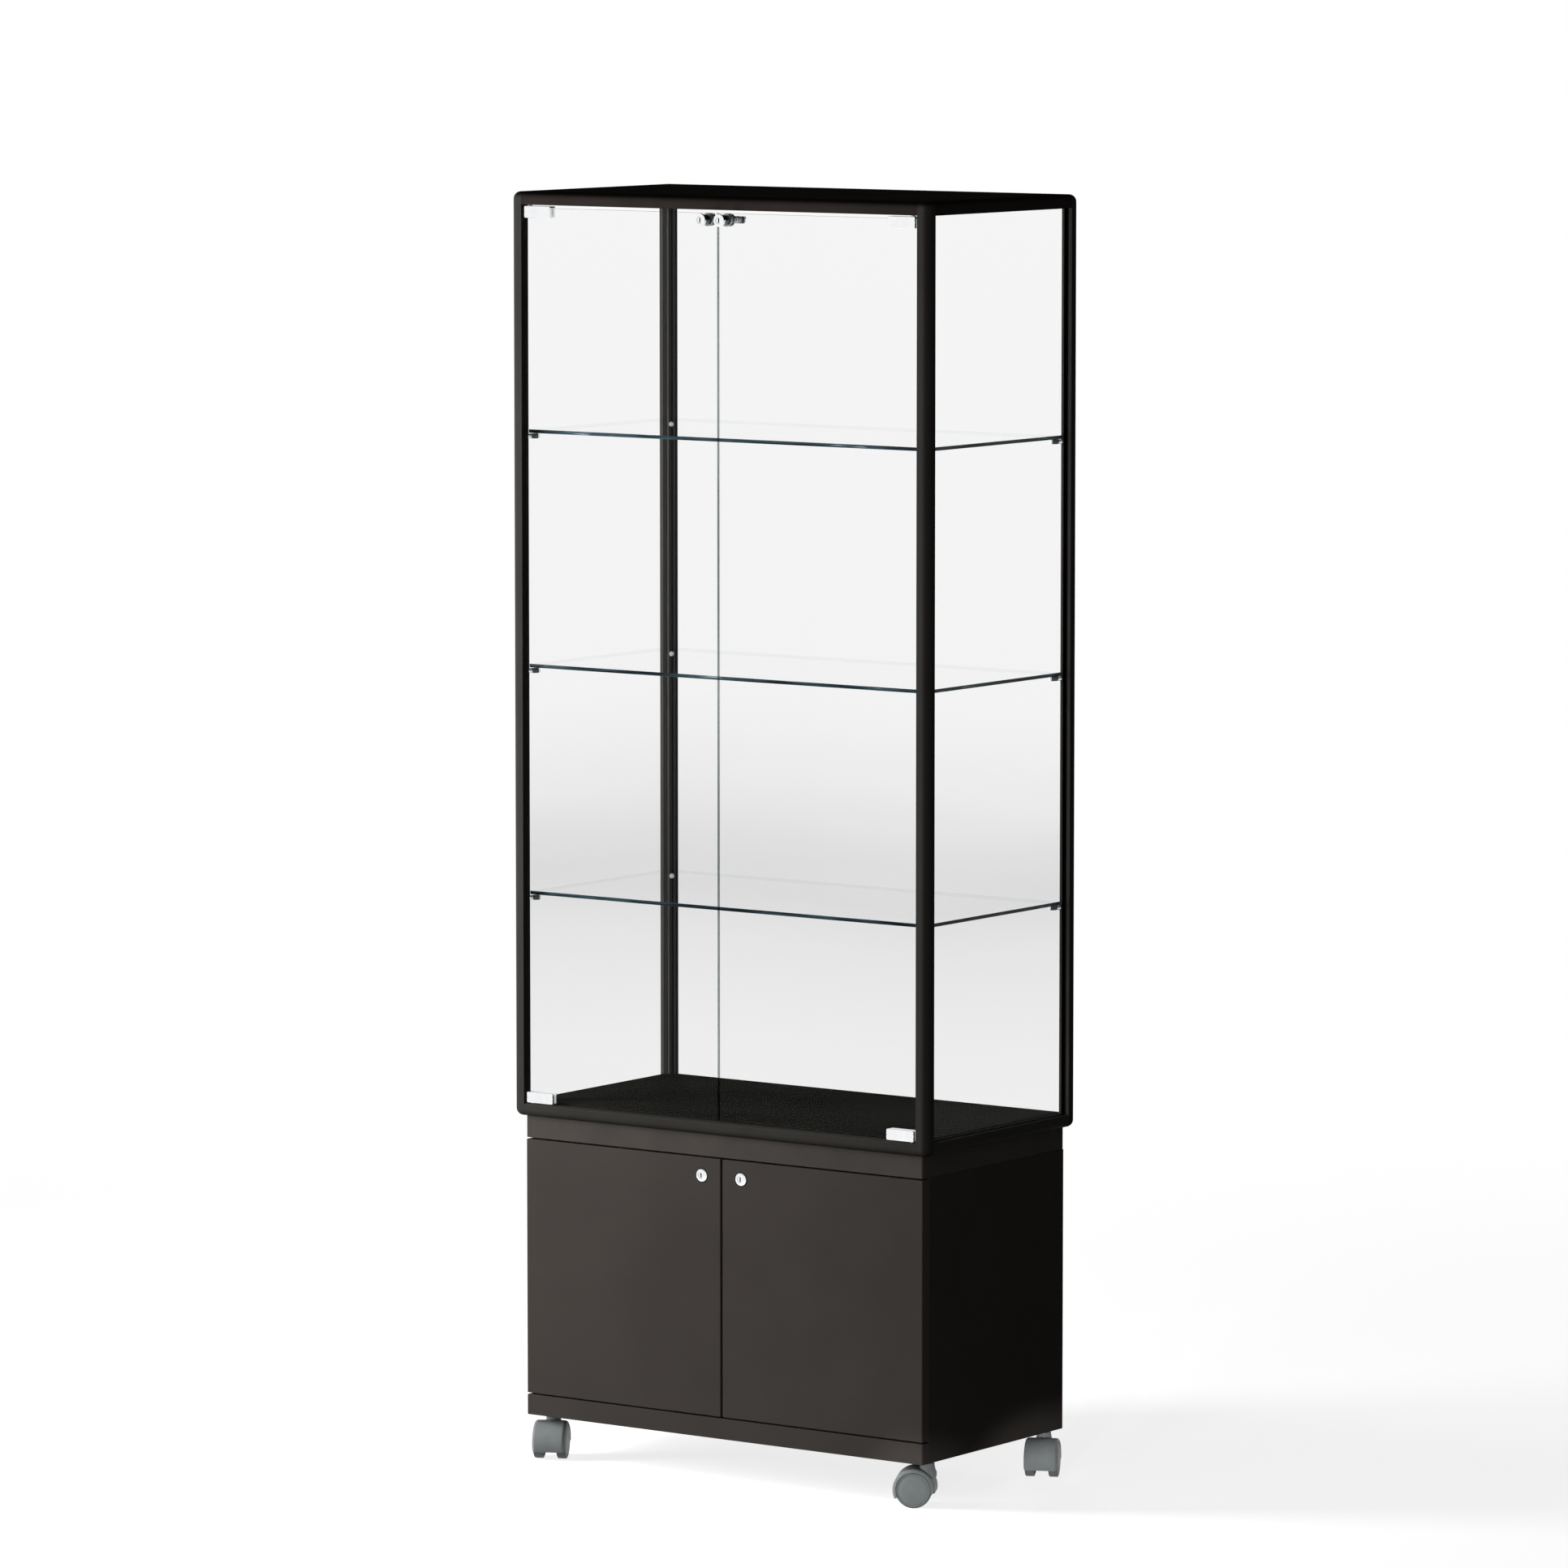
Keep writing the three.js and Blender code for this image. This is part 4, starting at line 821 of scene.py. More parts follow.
def rail_corners(outer, inner, top, bottom, upper, grooved, lip):
    """Corners of a rail's section: u runs across it and v up. lip is None or its (from, to, width)."""
    inward = 1 if inner > outer else -1
    edge_round = TOP_RAIL_EDGE_ROUND if upper else BASE_RAIL_EDGE_ROUND
    far, near = (top, bottom) if upper else (bottom, top)  # far is the frame's outside
    corners = [(outer, far, OUTER_ROUND)]
    if lip:
        lip_far, lip_near, width = lip
        reach = inner + inward * width
        if abs(lip_far - far) > HAIRLINE:
            corners += [(inner, far), (inner, lip_far)]
        corners += [(reach, lip_far), (reach, lip_near), (inner, lip_near)]
    else:
        corners.append((inner, far))
    corners.append((inner, near))
    if grooved:
        floor = near + (GROOVE_DEPTH if upper else -GROOVE_DEPTH)
        middle = (outer + inner) / 2
        half = inward * GROOVE_HALF_WIDTH
        corners += [(middle + half, near), (middle + half, floor)]
        corners += [(middle - half, floor), (middle - half, near)]
    corners.append((outer, near, edge_round))
    return corners


def rail(level, where):
    """A rail, with a lip for its panel at the sides and the doors' pivot holes in front."""
    node = f"{level}_{where}_rail"
    low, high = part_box(node)
    upper = level == "top"
    along_y = where in SIDES
    sign = SIDES[where] if along_y else ENDS[where]
    across = 0 if along_y else 1
    outer = high[across] if sign > 0 else low[across]
    inner = outer - sign * PROFILE
    lip = None
    if along_y:
        panel_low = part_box("top_panel" if upper else "deck_panel")[0].z
        width = high[across] - low[across] - PROFILE
        lip_top = panel_low - LIP_CLEARANCE
        lip = (lip_top, lip_top - TOP_LIP_THICKNESS, width) if upper else (low.z, lip_top, width)
    corners = rail_corners(outer, inner, high.z, low.z, upper, where != "front", lip)
    run = 1 - across
    bm = prism(outline(corners), "y" if along_y else "x", low[run], high[run])
    if where == "front":
        way = 1 if upper else -1
        face = low.z if upper else high.z
        start, end = sorted((face - way * OVERCUT, face + way * PIVOT_HOLE_DEPTH))
        holes = []
        for side in SIDES:
            x, y, _ = JOINTS[f"{side}_glass_door_hinge"]["pos_m"]
            holes.append(rod(PIVOT_HOLE_RADIUS, start, end, Matrix.Translation((x, y, 0)), 24))
        bm = cut(bm, *holes)
    # the top rails take the darker copy of the frame's paint, which is painted shade
    piece(f"{node}_profile", bm, [FRAME_TOP_PAINTED_SHADE if upper else FRAME_BASE_PAINTED_SHADE], "root", "frame_finish", node)


def panel(node, material, slot):
    low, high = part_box(node)
    bm = block(low, high)
    bevel(bm, bm.edges, BOARD_ARRIS, 2)
    piece(f"{node}_board", bm, [material], "root", slot, node)


def gasket(node, name, finish):
    """Beads on both faces of a fixed pane, round the opening that it closes."""
    low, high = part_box(node)
    thin = thinnest(low, high, 2)
    wide = 1 - thin
    engagement = GROOVE_DEPTH - GROOVE_END_CLEARANCE
    u0 = low[wide] + engagement
    u1 = high[wide] - engagement
    v0 = low.z + engagement
    v1 = high.z - engagement
    parts = []
    for face, way in ((low[thin], -1), (high[thin], 1)):
        near = face + way * HAIRLINE
        far = face + way * BEAD_PROUD
        strips = [
            ((u0, v0), (u1, v0 + BEAD_WIDTH)), ((u0, v1 - BEAD_WIDTH), (u1, v1)),
            ((u0, v0 + BEAD_WIDTH), (u0 + BEAD_WIDTH, v1 - BEAD_WIDTH)),
            ((u1 - BEAD_WIDTH, v0 + BEAD_WIDTH), (u1, v1 - BEAD_WIDTH)),
        ]
        for (a, c), (b, d) in strips:
            corners = [Vector((0, 0, c)), Vector((0, 0, d))]
            for corner, u, w in zip(corners, (a, b), (near, far)):
                corner[wide] = u
                corner[thin] = w
            strip = block(*corners)
            bevel(strip, strip.edges, BEAD_ROUND, 2)
            parts.append(strip)
    piece(name, joined(*parts), [finish], "root", "frame_finish")


for end_name in ENDS:
    for side_name in SIDES:
        post(end_name, side_name)
for level_name in ("top", "base"):
    for place_name in ("front", "back", "left", "right"):
        rail(level_name, place_name)
panel("top_panel", PANEL, "dark_panel")
panel("deck_panel", DECK, "dark_panel")

# --- glass


def sheet_of_glass(node, name, body, face, edge, holes=()):
    """A sheet with ground edges. Its two faces are clear and its edges show their own colour."""
    low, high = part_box(node)
    thin = thinnest(low, high)
    bm = block(low, high)
    bevel(bm, bm.edges, GLASS_ARRIS, 2)
    if holes:
        bm = cut(bm, *holes)
    bm.normal_update()
    painted(bm, 1)
    painted(bm, 0, lambda part: abs(part.normal[thin]) > 0.99)
    if edge is DOOR_EDGE:
        painted(bm, 0, lambda part: abs(part.normal.z) > 0.5)
    piece(name, bm, [face, edge], body, "clear_glass", node, smooth=25)


for side_name in SIDES:
    sheet_of_glass(f"{side_name}_side_glass", f"{side_name}_side_pane", "root", PANE, GLASS_EDGE_PAINTED_GLOW)
    bead_finish = FRAME if side_name == "left" else RUBBER
    gasket(f"{side_name}_side_glass", f"{side_name}_side_gasket", bead_finish)
sheet_of_glass("back_glass", "back_pane", "root", PANE, GLASS_EDGE_PAINTED_GLOW)
gasket("back_glass", "back_gasket", FRAME)
for shelf_name in SHELVES:
    sheet_of_glass(f"{shelf_name}_shelf", f"{shelf_name}_shelf_sheet", "root", SHELF, GLASS_EDGE_PAINTED_GLOW)

# --- glass doors


def glass_door(side):
    body = f"{side}_glass_leaf"
    low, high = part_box(f"{side}_glass_door")
    place = door_axis(f"{side}_knob_lock_turn")[2]
    hole = rod(GLASS_HOLE_RADIUS, low.y - OVERCUT, high.y + OVERCUT, place, 40)
    sheet_of_glass(f"{side}_glass_door", f"{side}_door_sheet", body, PANE, DOOR_EDGE, [hole])
    for level in LEVELS:
        pivot_clamp(side, level, body)


def pivot_clamp(side, level, body):
    """Two plates joined over the edge of the glass, with a pin and two set screws behind."""
    node = f"{side}_door_{level}_clamp"
    low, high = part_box(node)
    pane_low, pane_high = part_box(f"{side}_glass_door")
    up = LEVELS[level]
    pane_edge = pane_high.z if up > 0 else pane_low.z
    outer_z = pane_edge + (CLAMP_RISE if up > 0 else -CLAMP_DROP)
    inner_z = low.z if up > 0 else high.z
    left = low.x - OVERCUT
    right = high.x + OVERCUT
    shape = rounded_rectangle((low.x, inner_z), (high.x, outer_z), CLAMP_ROUND, 6)
    shell = prism(shape, "y", low.y, high.y)
    bevel(shell, sharp_edges(shell, 60), CLAMP_ARRIS, 3)
    slot_front = low.y + CLAMP_WALL
    slot_back = high.y - CLAMP_WALL
    slot = block((left, slot_front, inner_z - up * OVERCUT), (right, slot_back, pane_edge + up * CLAMP_GAP))
    middle = (inner_z + outer_z) / 2
    half = CLAMP_LINE / 2
    lines = [
        block((left, y - CLAMP_LINE, middle - half), (right, y + CLAMP_LINE, middle + half))
        for y in (low.y, high.y)
    ]
    shell = cut(shell, slot, *lines)
    slot_low = (low.x + MM, slot_front, low.z - MM)
    slot_high = (high.x - MM, slot_back, high.z + MM)
    # the slot's faces take the pad finish, which glows with painted light
    painted(shell, 2, lambda part: within(part, slot_low, slot_high))
    screws = []
    for share in (0.25, 0.75):
        x = low.x + share * (high.x - low.x)
        screws.append(screw(BACK, (x, high.y, middle - up * CLAMP_SCREW_INSET), CLAMP_SCREW, 1))
    bm = joined(shell, *screws)
    piece(f"{node}_plates", bm, [CHROME, ZINC, CLAMP_PAD_PAINTED_GLOW], body, "chrome_fittings", node)
    x, y, _ = JOINTS[f"{side}_glass_door_hinge"]["pos_m"]
    reach = abs((high.z if up > 0 else low.z) - outer_z)
    tip = reach + PIVOT_PIN_TIP
    profile = in_mm(PIVOT_PIN_HEAD) + [(PIVOT_PIN_RADIUS, reach), (PIVOT_PIN_TIP_RADIUS, tip), (0, tip)]
    pin = turned(profile, facing((0, 0, up), (x, y, outer_z - up * PIVOT_PIN_SINK)), sides=32)
    piece(f"{side}_door_{level}_pivot_pin", pin, [ZINC], body, "chrome_fittings")


for side_name in SIDES:
    glass_door(side_name)

# --- locks


def keyed_bore(place, face, end):
    """The stepped bore that a lock's body has for its key plug, as a cutter."""
    start = face - OVERCUT
    step = face + BORE_STEP
    end += OVERCUT
    profile = [
        (0, start), (BORE_HEAD_RADIUS, start), (BORE_HEAD_RADIUS, step), (BORE_RADIUS, step),
        (BORE_RADIUS, end), (0, end),
    ]
    return turned(profile, place)


def lock_plug(side, kind):
    """The key plug with its cam, which lies level and points to the door's hinge side: unlocked."""
    node = f"{side}_{kind}_lock_plug"
    low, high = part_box(node)
    x, z, place = door_axis(f"{side}_{kind}_lock_turn")
    plug = turned(in_mm(PLUG_HEAD, low.y) + [(PLUG_RADIUS, high.y), (0, high.y)], place)
    half = (high.z - low.z) / 2
    shape = rounded_rectangle((low.x, z - half), (high.x, z + half), half * 0.6, 6)
    cam = prism(shape, "y", high.y - CAM_THICKNESS, high.y)
    bevel(cam, sharp_edges(cam, 60), CAM_ARRIS, 2)
    u = KEYWAY_WIDTH / 2
    v = KEYWAY_HEIGHT / 2
    shape = rounded_rectangle((x - u, z - v), (x + u, z + v), KEYWAY_WIDTH * 0.45, 4)
    keyway = prism(shape, "y", low.y - OVERCUT, low.y + KEYWAY_DEPTH)
    bm = cut(united(plug, cam), keyway)
    bm.normal_update()

    def in_keyway(face):
        centre = face.calc_center_median()
        near = abs(centre.x - x) < KEYWAY_WIDTH * 0.6 and abs(centre.z - z) < KEYWAY_HEIGHT * 0.6
        return near and KEYWAY_MARGIN < centre.y - low.y < KEYWAY_DEPTH + KEYWAY_MARGIN

    # the keyway's faces take the near-black finish, which is painted shade
    painted(bm, 1, in_keyway)
    bm = joined(bm, screw(BACK, (x, high.y, z), CAM_SCREW, 2))
    finishes = [CHROME, KEYWAY_PAINTED_SHADE, ZINC]
    piece(f"{side}_{kind}_key_plug", bm, finishes, f"{side}_{kind}_cam", "chrome_fittings", node)


def knob_lock(side):
    """A knob on a neck, a collar against the glass, and a washer and nut behind the glass."""
    node = f"{side}_knob_lock_body"
    low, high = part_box(node)
    pane_low, pane_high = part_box(f"{side}_glass_door")
    x, z, place = door_axis(f"{side}_knob_lock_turn")
    neck = low.y + KNOB_THICKNESS
    collar_back = pane_low.y - LOCK_GLASS_GAP
    collar = collar_back - COLLAR_THICKNESS
    steps = [
        (KNOB_RADIUS, low.y, neck), (NECK_RADIUS, neck, collar),
        (COLLAR_RADIUS, collar, collar_back), (THREAD_RADIUS, collar_back, high.y),
    ]
    shell = turned(rounded_steps(steps, LOCK_ARRIS), place, sides=64)
    shell = cut(shell, keyed_bore(place, low.y, high.y))

    def outside(part, start, end):
        centre = part.calc_center_median()
        return start < centre.y < end and math.hypot(centre.x - x, centre.z - z) > LOCK_WALL_MIDDLE

    # the neck and collar take darker copies of the chrome: painted shade
    painted(shell, 2, lambda part: outside(part, neck, collar))
    painted(shell, 3, lambda part: outside(part, collar, pane_low.y))
    behind = pane_high.y + LOCK_GLASS_GAP
    washer = turned(in_mm(KNOB_WASHER, behind), place, closed=True)
    nut = turned(in_mm(KNOB_NUT, behind), place, sides=6, closed=True)
    bm = joined(shell, painted(washer, 1), painted(nut, 1))
    finishes = [CHROME, ZINC, KNOB_NECK_PAINTED_SHADE, KNOB_COLLAR_PAINTED_SHADE]
    piece(f"{side}_knob_lock_shell", bm, finishes, f"{side}_glass_leaf", "chrome_fittings", node)
    lock_plug(side, "knob")


def cupboard_lock(side):
    """A round lock let into the door, with a clip behind the door. The dark ring under its cap is a
    painted shadow where the cap meets the door.
    """
    node = f"{side}_cupboard_lock_body"
    low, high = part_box(node)
    place = door_axis(f"{side}_cupboard_lock_turn")[2]
    door_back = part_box(f"{side}_cupboard_door")[1].y
    profile = in_mm(LOCK_CAP, low.y) + [(BARREL_RADIUS, high.y), (0, high.y)]
    shell = cut(turned(profile, place, sides=64), keyed_bore(place, low.y, high.y))
    clip = turned(in_mm(LOCK_CLIP, door_back), place, sides=8, closed=True)
    # the dark ring under the cap is a painted shadow
    shadow_ring = turned(in_mm(LOCK_CAP_PAINTED_SHADOW_RING, low.y), place, sides=64, closed=True)
    bm = joined(shell, painted(clip, 1), painted(shadow_ring, 2))
    finishes = [CHROME, ZINC, RUBBER]
    piece(f"{side}_cupboard_lock_shell", bm, finishes, f"{side}_cupboard_leaf", "chrome_fittings", node)
    lock_plug(side, "cupboard")


for side_name in SIDES:
    knob_lock(side_name)
    cupboard_lock(side_name)

# --- cupboard


def board(node, name, body="root", rounds=(), round_radius=0.0, tools=()):
    """A laminated board with banded edges. rounds gives the planes of its larger rounded edges."""
    low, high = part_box(node)
    thin = thinnest(low, high)
    bm = block(low, high)
    chosen = [edge for planes in rounds for edge in edges_at(bm, **planes)]
    if chosen:
        bevel(bm, chosen, round_radius, 5)
    bevel(bm, sharp_edges(bm, 60), BOARD_ARRIS, 2)
    if tools:
        bm = cut(bm, *tools)
    bm.normal_update()
    painted(bm, 1, lambda face: abs(face.normal[thin]) < 0.5)
    piece(name, bm, [BOARD, BOARD_EDGE], body, "cupboard_board", node)


def hinge_heights(side):
    return {level: sum(c.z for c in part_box(f"{side}_{level}_hinge_arm")) / 2 for level in LEVELS}


def cup_centre_x(side):
    low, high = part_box(f"{side}_cupboard_door")
    return low.x + CUP_CENTRE_INSET if SIDES[side] < 0 else high.x - CUP_CENTRE_INSET


def cupboard_door(side):
    """A door with its lock's hole, and with its two hinge cups let in."""
    node = f"{side}_cupboard_door"
    low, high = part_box(node)
    place = door_axis(f"{side}_cupboard_lock_turn")[2]
    tools = [rod(BARREL_HOLE_RADIUS, low.y - OVERCUT, high.y + OVERCUT, place)]
    centre = cup_centre_x(side)
    floor = high.y - CUP_DEPTH - CUP_HOLE_CLEARANCE
    for height in hinge_heights(side).values():
        place = facing(BACK, (centre, 0, height))
        tools.append(rod(CUP_RADIUS + CUP_HOLE_CLEARANCE, floor, high.y + OVERCUT, place, 64))
    rounds = [{"x": low.x, "y": low.y}, {"x": high.x, "y": low.y}]
    board(node, f"{side}_cupboard_door_board", f"{side}_cupboard_leaf", rounds, BOARD_ROUND, tools)
    for level, height in hinge_heights(side).items():
        hinge_cup(side, level, (centre, high.y, height))


def hinge_cup(side, level, centre):
    """A pressed cup let into the door, with its flange and two screws."""
    parts = [turned(in_mm(CUP_PROFILE), facing(BACK, centre), sides=64)]
    for way in (-1, 1):
        start, end = sorted((way * EAR_START, way * EAR_END))
        shape = rounded_rectangle((-EAR_HALF_WIDTH, start), (EAR_HALF_WIDTH, end), EAR_ROUND, 5)
        ear = prism(shape, "y", HAIRLINE, HAIRLINE + EAR_THICKNESS)
        parts.append(moved(ear, Matrix.Translation(centre)))
        spot = Vector(centre) + Vector((0, 0, way * EAR_SCREW_PLACE))
        parts.append(screw(BACK, spot, EAR_SCREW, 1))
    piece(f"{side}_{level}_hinge_cup", joined(*parts), [ZINC, ZINC], f"{side}_cupboard_leaf", "plated_steel")


def hinge_arm(side, level):
    """A concealed hinge's arm, clipped over its mounting plate, with the plate's screws."""
    node = f"{side}_{level}_hinge_arm"
    low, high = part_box(node)
    inward = -SIDES[side]
    seat = low.x if inward > 0 else high.x
    crown = seat + inward * (high.x - low.x)
    middle = (low.z + high.z) / 2
    plate_front = high.y - PLATE_LENGTH
    plate_top = seat + inward * PLATE_THICKNESS
    plate = block((seat, plate_front, low.z), (plate_top, high.y, high.z))
    corners = [e for y in (plate_front, high.y) for z in (low.z, high.z) for e in edges_at(plate, y=y, z=z)]
    bevel(plate, corners, PLATE_ROUND, 6)
    bevel(plate, sharp_edges(plate, 60), PLATE_ARRIS, 2)
    arm_low = middle - ARM_HALF_WIDTH
    arm_high = middle + ARM_HALF_WIDTH
    arm = block((seat + inward * ARM_FOOT, low.y, arm_low), (crown, high.y, arm_high))
    bevel(arm, [e for z in (arm_low, arm_high) for e in edges_at(arm, x=crown, z=z)], ARM_CROWN, 5)
    bevel(arm, sharp_edges(arm, 60), ARM_ARRIS, 2)
    start, end = [high.y - place for place in ARM_SLOT_ENDS]
    slot = block(
        (crown - inward * ARM_SLOT_DEPTH, start, middle - ARM_SLOT_HALF_WIDTH),
        (crown + inward * OVERCUT, end, middle + ARM_SLOT_HALF_WIDTH),
    )
    arm = cut(arm, slot)
    out = (inward, 0, 0)
    screws = []
    for z in (low.z + PLATE_SCREW_INSET, high.z - PLATE_SCREW_INSET):
        spot = (plate_top, high.y - PLATE_SCREW_PLACE, z)
        screws.append(screw(out, spot, PLATE_SCREW, 1))
    for place in ARM_SCREW_PLACES:
        screws.append(screw(out, (crown, high.y - place, middle), ARM_SCREW, 1))
    bm = joined(united(plate, arm), *screws)
    piece(f"{node}_assembly", bm, [ZINC, CHROME], "root", "plated_steel", node)


def strike_plate():
    """An angle that the cupboard locks' cams catch behind, with its screws."""
    low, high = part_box("lock_strike_plate")
    under = high.z - STRIKE_THICKNESS
    behind = low.y + STRIKE_THICKNESS
    section = [
        (low.y, high.z), (high.y, high.z), (high.y, under), (behind, under), (behind, low.z),
        (low.y, low.z),
    ]
    bm = prism(outline(section), "x", low.x, high.x)
    bevel(bm, sharp_edges(bm, 60), STRIKE_ARRIS, 2)
    screws = []
    for share in STRIKE_SCREW_SHARES:
        spot = (share * (high.x - low.x), (low.y + high.y) / 2 + STRIKE_SCREW_SHIFT, under)
        screws.append(screw((0, 0, -1), spot, STRIKE_SCREW, 1))
    bm = joined(bm, *screws)
    piece("lock_strike_angle", bm, [ZINC, CHROME], "root", "plated_steel", "lock_strike_plate")


top_low, top_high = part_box("cupboard_top_board")
top_corners = [{"x": x, "y": y} for x in (top_low.x, top_high.x) for y in (top_low.y, top_high.y)]
board("cupboard_top_board", "cupboard_top", "root", top_corners, TOP_BOARD_ROUND)
fascia_low, fascia_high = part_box("cupboard_fascia")
fascia_corners = [{"x": x, "y": fascia_low.y} for x in (fascia_low.x, fascia_high.x)]
board("cupboard_fascia", "cupboard_fascia_board", "root", fascia_corners, BOARD_ROUND)
board("cupboard_bottom_board", "cupboard_floor")
board("cupboard_back_board", "cupboard_back")
strike_plate()
for side_name in SIDES:
    board(f"cupboard_{side_name}_side", f"cupboard_{side_name}_side_board")
    cupboard_door(side_name)
    for level_name in LEVELS:
        hinge_arm(side_name, level_name)

# --- casters


def caster_place(name):
    """The placement of a caster's own frame: Z on its swivel axis, X the way that its wheels trail."""
    swivel = Vector(JOINTS[f"{name}_caster_swivel"]["pos_m"])
    roll = JOINTS[f"{name}_wheels_roll"]
    across = Vector(roll["axis"]).normalized()
    trail = Vector(roll["pos_m"]) - swivel
    trail.z = 0
    distance = trail.length
    trail.normalize()
    turn = Matrix((trail, across, Vector((0, 0, 1)))).transposed().to_4x4()
    return Matrix.Translation((swivel.x, swivel.y, 0)) @ turn, distance


def hood_section():
    """The hood's section across its width, with rounded shoulders over the wheels."""
    half = []
    for step in range(7):
        angle = step / 6 * math.pi / 2
        across = HOOD_HALF_WIDTH - HOOD_SHOULDER_WIDTH * (1 - math.sin(angle))
        half.append((across, HOOD_OUTER - HOOD_SHOULDER_DROP * (1 - math.cos(angle))))
    half += in_mm(HOOD_INSIDE)
    return half + [(-across, radius) for across, radius in reversed(half)]


def caster_hood(name, place, trail):
    """The hood over both wheels, the web between them and the boss round the stem."""
    trailing = math.asin((HOOD_FLOOR_GAP - WHEEL_RADIUS) / HOOD_OUTER)
    leading = math.pi - math.asin((HOOD_FRONT_GAP - WHEEL_RADIUS) / HOOD_OUTER)
    axle = Matrix.Translation((trail, 0, WHEEL_RADIUS))
    cover = moved(swept(hood_section(), trailing, leading, 40), axle)
    arc = []
    for step in range(33):
        angle = trailing + (leading - trailing) * step / 32
        radius = HOOD_OUTER - WEB_COVER
        arc.append((trail + radius * math.cos(angle), WHEEL_RADIUS + radius * math.sin(angle)))
    web = prism(arc, "y", -WEB_HALF_WIDTH, WEB_HALF_WIDTH)
    node = f"{name}_caster_hood"
    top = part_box(node)[1].z
    boss = turned(in_mm(HOOD_BOSS, top), Matrix())
    stem_bore = rod(STEM_BORE_RADIUS, top - STEM_BORE_DEPTH, top + OVERCUT)
    axle_place = facing(BACK, (trail, 0, WHEEL_RADIUS))
    axle_bore = rod(AXLE_BORE_RADIUS, -AXLE_BORE_REACH, AXLE_BORE_REACH, axle_place)
    bm = moved(cut(united(cover, web, boss), stem_bore, axle_bore), place)
    piece(f"{name}_caster_housing", bm, [NYLON], f"{name}_caster", "caster_plastic", node)


def caster_wheels(name, place, trail):
    """Both wheels on their axle: domed covers with a raised rim, treads and inner faces."""
    half = in_mm(WHEEL_HALF)
    profile = half + [(radius, -y) for radius, y in reversed(half)]
    marks = WHEEL_MARKS + [2] + WHEEL_MARKS[::-1]
    wheels = turned(profile, facing(BACK, (trail, 0, WHEEL_RADIUS)), sides=72, marks=marks)
    finishes = [NYLON, TREAD, ZINC]
    piece(
        f"{name}_caster_wheel_pair", moved(wheels, place), finishes, f"{name}_wheelset",
        "caster_plastic", f"{name}_caster_wheels", smooth=30,
    )


def caster_stem(name, place):
    low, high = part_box(f"{name}_caster_stem")
    profile = in_mm(STEM_FOOT, low.z) + in_mm(STEM_FLANGE, high.z)
    bm = moved(turned(profile, Matrix()), place)
    piece(f"{name}_caster_spigot", bm, [ZINC], "root", "plated_steel", f"{name}_caster_stem")


for caster_name in CASTERS:
    caster_frame, caster_trail = caster_place(caster_name)
    caster_stem(caster_name, caster_frame)
    caster_hood(caster_name, caster_frame, caster_trail)
    caster_wheels(caster_name, caster_frame, caster_trail)

# --- floor, light and camera

FLOOR_RADIUS = 4.0
FLOOR_BLEND = (1.3, 3.6)  # metres from the middle, where the floor turns into the white background
FLOOR_TONE = (0.5, 0.5, 0.5, 1)
FLOOR_LIGHT = 0.8  # of white, beside what its tone takes from the lamps
FLOOR_HIDDEN_TONE = (0.10, 0.10, 0.10, 1)  # for the light that it throws back on the object
WHITE = (1, 1, 1, 1)

# How bright the studio is all round, from left (0) over front (0.25), right (0.5) and back (0.75)
STUDIO_ROUND = [
    (0.0, 1.0), (0.25, 1.0), (0.36, 1.0), (0.40, 0.25), (0.45, 0.25), (0.5, 0.8), (0.7, 0.9), (0.8, 1.0),
    (1.0, 1.0),
]
STUDIO_UP = [(0.0, 1.0), (0.25, 1.0), (0.8, 0.35)]  # the same from level (0) to straight up (1)
STUDIO_FILL = 0.09  # of that, as light on the object

SOFTBOXES = [  # name, place, target, size and power
    ("key", (-1.75, -1.4, 1.25), (0, 0, 1.05), (0.6, 1.9), 78),
    ("front", (0.9, -3.6, 1.5), (0, 0, 0.9), (0.8, 1.6), 20),
    ("top", (-0.4, -1.2, 3.8), (0, 0, 1.2), (1.6, 1.2), 8),
    ("back", (-2.4, 3.4, 2.2), (0, 0, 1.0), (1.5, 2.2), 30),
]
SPOTS = {"front_left": 21, "front_right": 74, "back_right": 100}
SPOT_OFFSET = Vector((0.9, -2.0, 0.12))
SPOT_LIFT = 0.006
SPOT_REACH = 0.075  # radius of the beam where it lands

LENS = 196.06
CAMERA_PLACE = (6.91682, -9.70522, 2.23925)
CAMERA_DOWN = 6.0713  # degrees below level
CAMERA_ROUND = 35.5201  # degrees round from the front


def seen_directly(tree):
    """1 for rays from the camera, and 1 for rays from shiny and clear surfaces."""
    path = add(tree, "LightPath").outputs
    shiny = math_node(tree, "MAXIMUM", path["Is Glossy Ray"], path["Is Transmission Ray"])
    return path["Is Camera Ray"], shiny


def glowing(tree, kind, colour, strength):
    """A background's or an emission's output."""
    return add(tree, kind, {"Color": colour, "Strength": strength}).outputs[0]


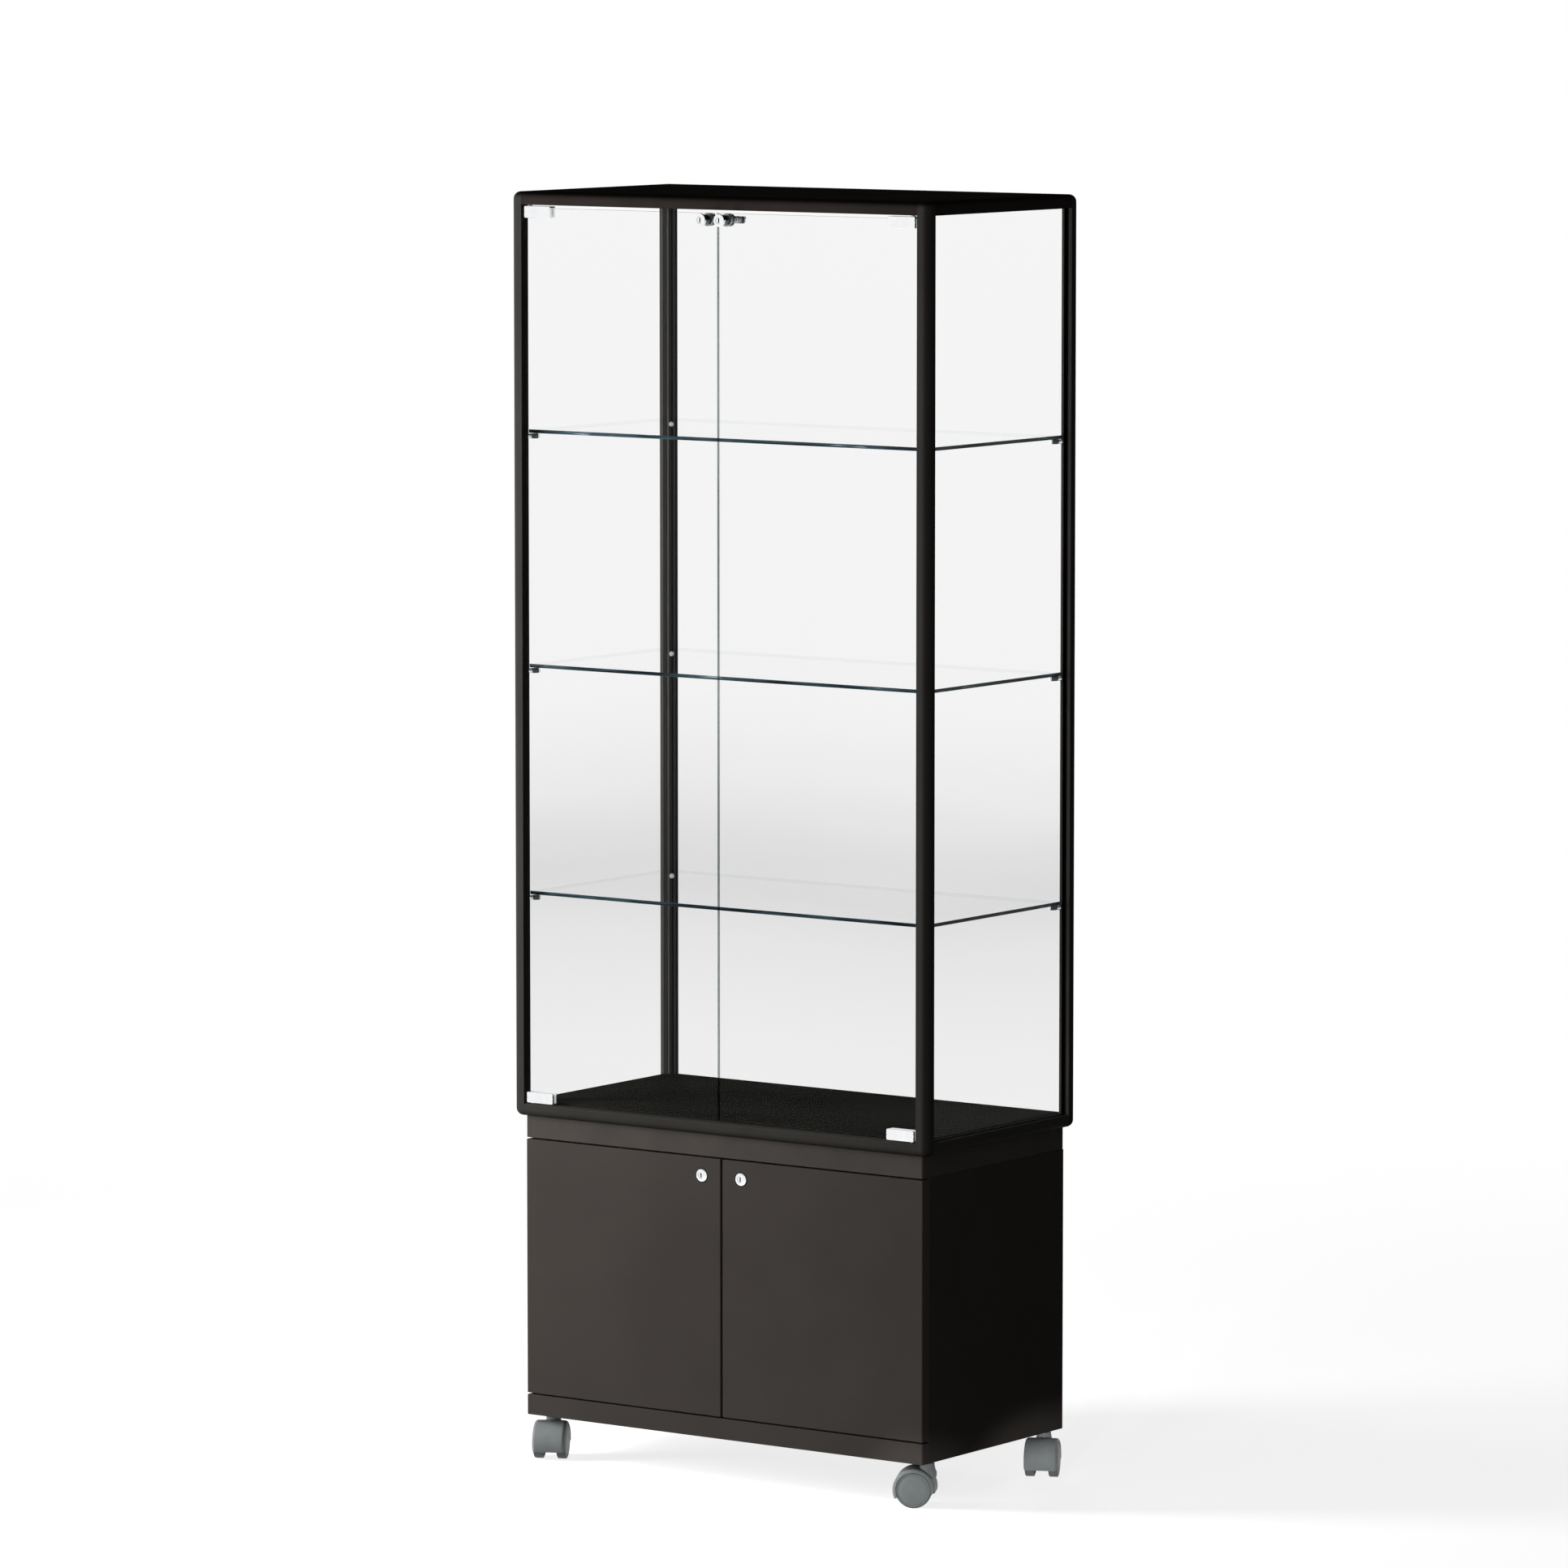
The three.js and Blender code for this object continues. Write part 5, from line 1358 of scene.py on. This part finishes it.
def studio_world():
    """White to the camera, a grey studio to shiny and clear surfaces, and a weak fill to all others."""
    world = bpy.data.worlds.new("studio")
    bpy.context.scene.world = world
    world.use_nodes = True
    tree = world.node_tree
    tree.nodes.clear()
    direction = add(tree, "TexCoord").outputs["Generated"]
    around = add(tree, "TexGradient", {"Vector": direction}, gradient_type="RADIAL").outputs["Fac"]
    walls = ramp(tree, around, STUDIO_ROUND, smooth=True)
    height = add(tree, "SeparateXYZ", {0: direction}).outputs["Z"]
    glow = multiplied(tree, walls, ramp(tree, height, STUDIO_UP))
    fill = glowing(tree, "Background", glow, STUDIO_FILL)
    mirrored = glowing(tree, "Background", glow, 1.0)
    white = glowing(tree, "Background", WHITE, 1.0)
    camera_ray, shiny_ray = seen_directly(tree)
    whole = mixed(tree, camera_ray, mixed(tree, shiny_ray, fill, mirrored), white)
    add(tree, "OutputWorld", {"Surface": whole})


def floor():
    """A pale floor that keeps a soft shadow near the object and runs out into the white background."""
    material, tree = new_material("pale_floor")
    place = add(tree, "TexCoord").outputs["Object"]
    distance = add(tree, "VectorMath", {0: place}, operation="LENGTH").outputs["Value"]
    values = {"Value": distance, "From Min": FLOOR_BLEND[0], "From Max": FLOOR_BLEND[1]}
    far = add(tree, "MapRange", values, interpolation_type="SMOOTHSTEP").outputs["Result"]
    lit = add(tree, "BsdfDiffuse", {"Color": FLOOR_TONE}).outputs[0]
    glow = glowing(tree, "Emission", WHITE, FLOOR_LIGHT)
    near = add(tree, "AddShader", {0: lit, 1: glow}).outputs[0]
    seen = mixed(tree, far, near, glowing(tree, "Emission", WHITE, 1.0))
    dim = add(tree, "BsdfDiffuse", {"Color": FLOOR_HIDDEN_TONE}).outputs[0]
    direct = math_node(tree, "MAXIMUM", *seen_directly(tree))
    finished(tree, mixed(tree, direct, dim, seen))
    bm = bmesh.new()
    bmesh.ops.create_circle(bm, cap_ends=True, segments=96, radius=FLOOR_RADIUS)
    mesh = bpy.data.meshes.new("floor")
    bm.to_mesh(mesh)
    bm.free()
    mesh.materials.append(material)
    disc = bpy.data.objects.new("floor", mesh)
    bpy.context.scene.collection.objects.link(disc)


def softbox(name, place, target, size, power):
    """A large soft lamp."""
    lamp = bpy.data.lights.new(f"{name}_softbox", "AREA")
    lamp.shape = "RECTANGLE"
    lamp.size = size[0]
    lamp.size_y = size[1]
    lamp.energy = power
    place_lamp(lamp, place, target)


def caster_spot(name, power):
    """A narrow beam from the front that picks a caster out under the cupboard."""
    middle = Vector(JOINTS[f"{name}_wheels_roll"]["pos_m"]) + Vector((0, 0, SPOT_LIFT))
    lamp = bpy.data.lights.new(f"{name}_spot", "SPOT")
    lamp.spot_size = 2 * math.atan(SPOT_REACH / SPOT_OFFSET.length)
    lamp.spot_blend = 0.5
    lamp.shadow_soft_size = 0.02
    lamp.energy = power
    place_lamp(lamp, middle + SPOT_OFFSET, middle)


def place_lamp(lamp, place, target):
    """Sets a lamp up where neither mirrors nor the camera show it."""
    obj = bpy.data.objects.new(lamp.name, lamp)
    obj.location = place
    obj.rotation_euler = (Vector(target) - Vector(place)).to_track_quat("-Z", "Y").to_euler()
    obj.visible_glossy = False
    obj.visible_camera = False
    bpy.context.scene.collection.objects.link(obj)


def camera():
    """The photograph's view, found by fitting the case's edges."""
    lens = bpy.data.cameras.new("camera")
    lens.sensor_width = 36.0
    lens.lens = LENS
    lens.clip_end = 100.0
    obj = bpy.data.objects.new("camera", lens)
    obj.location = CAMERA_PLACE
    obj.rotation_euler = (math.radians(90 - CAMERA_DOWN), 0, math.radians(CAMERA_ROUND))
    bpy.context.scene.collection.objects.link(obj)
    bpy.context.scene.camera = obj


studio_world()
floor()
for lamp_values in SOFTBOXES:
    softbox(*lamp_values)
for caster_name, spot_power in SPOTS.items():
    caster_spot(caster_name, spot_power)
camera()
bpy.context.scene.view_settings.view_transform = "Standard"
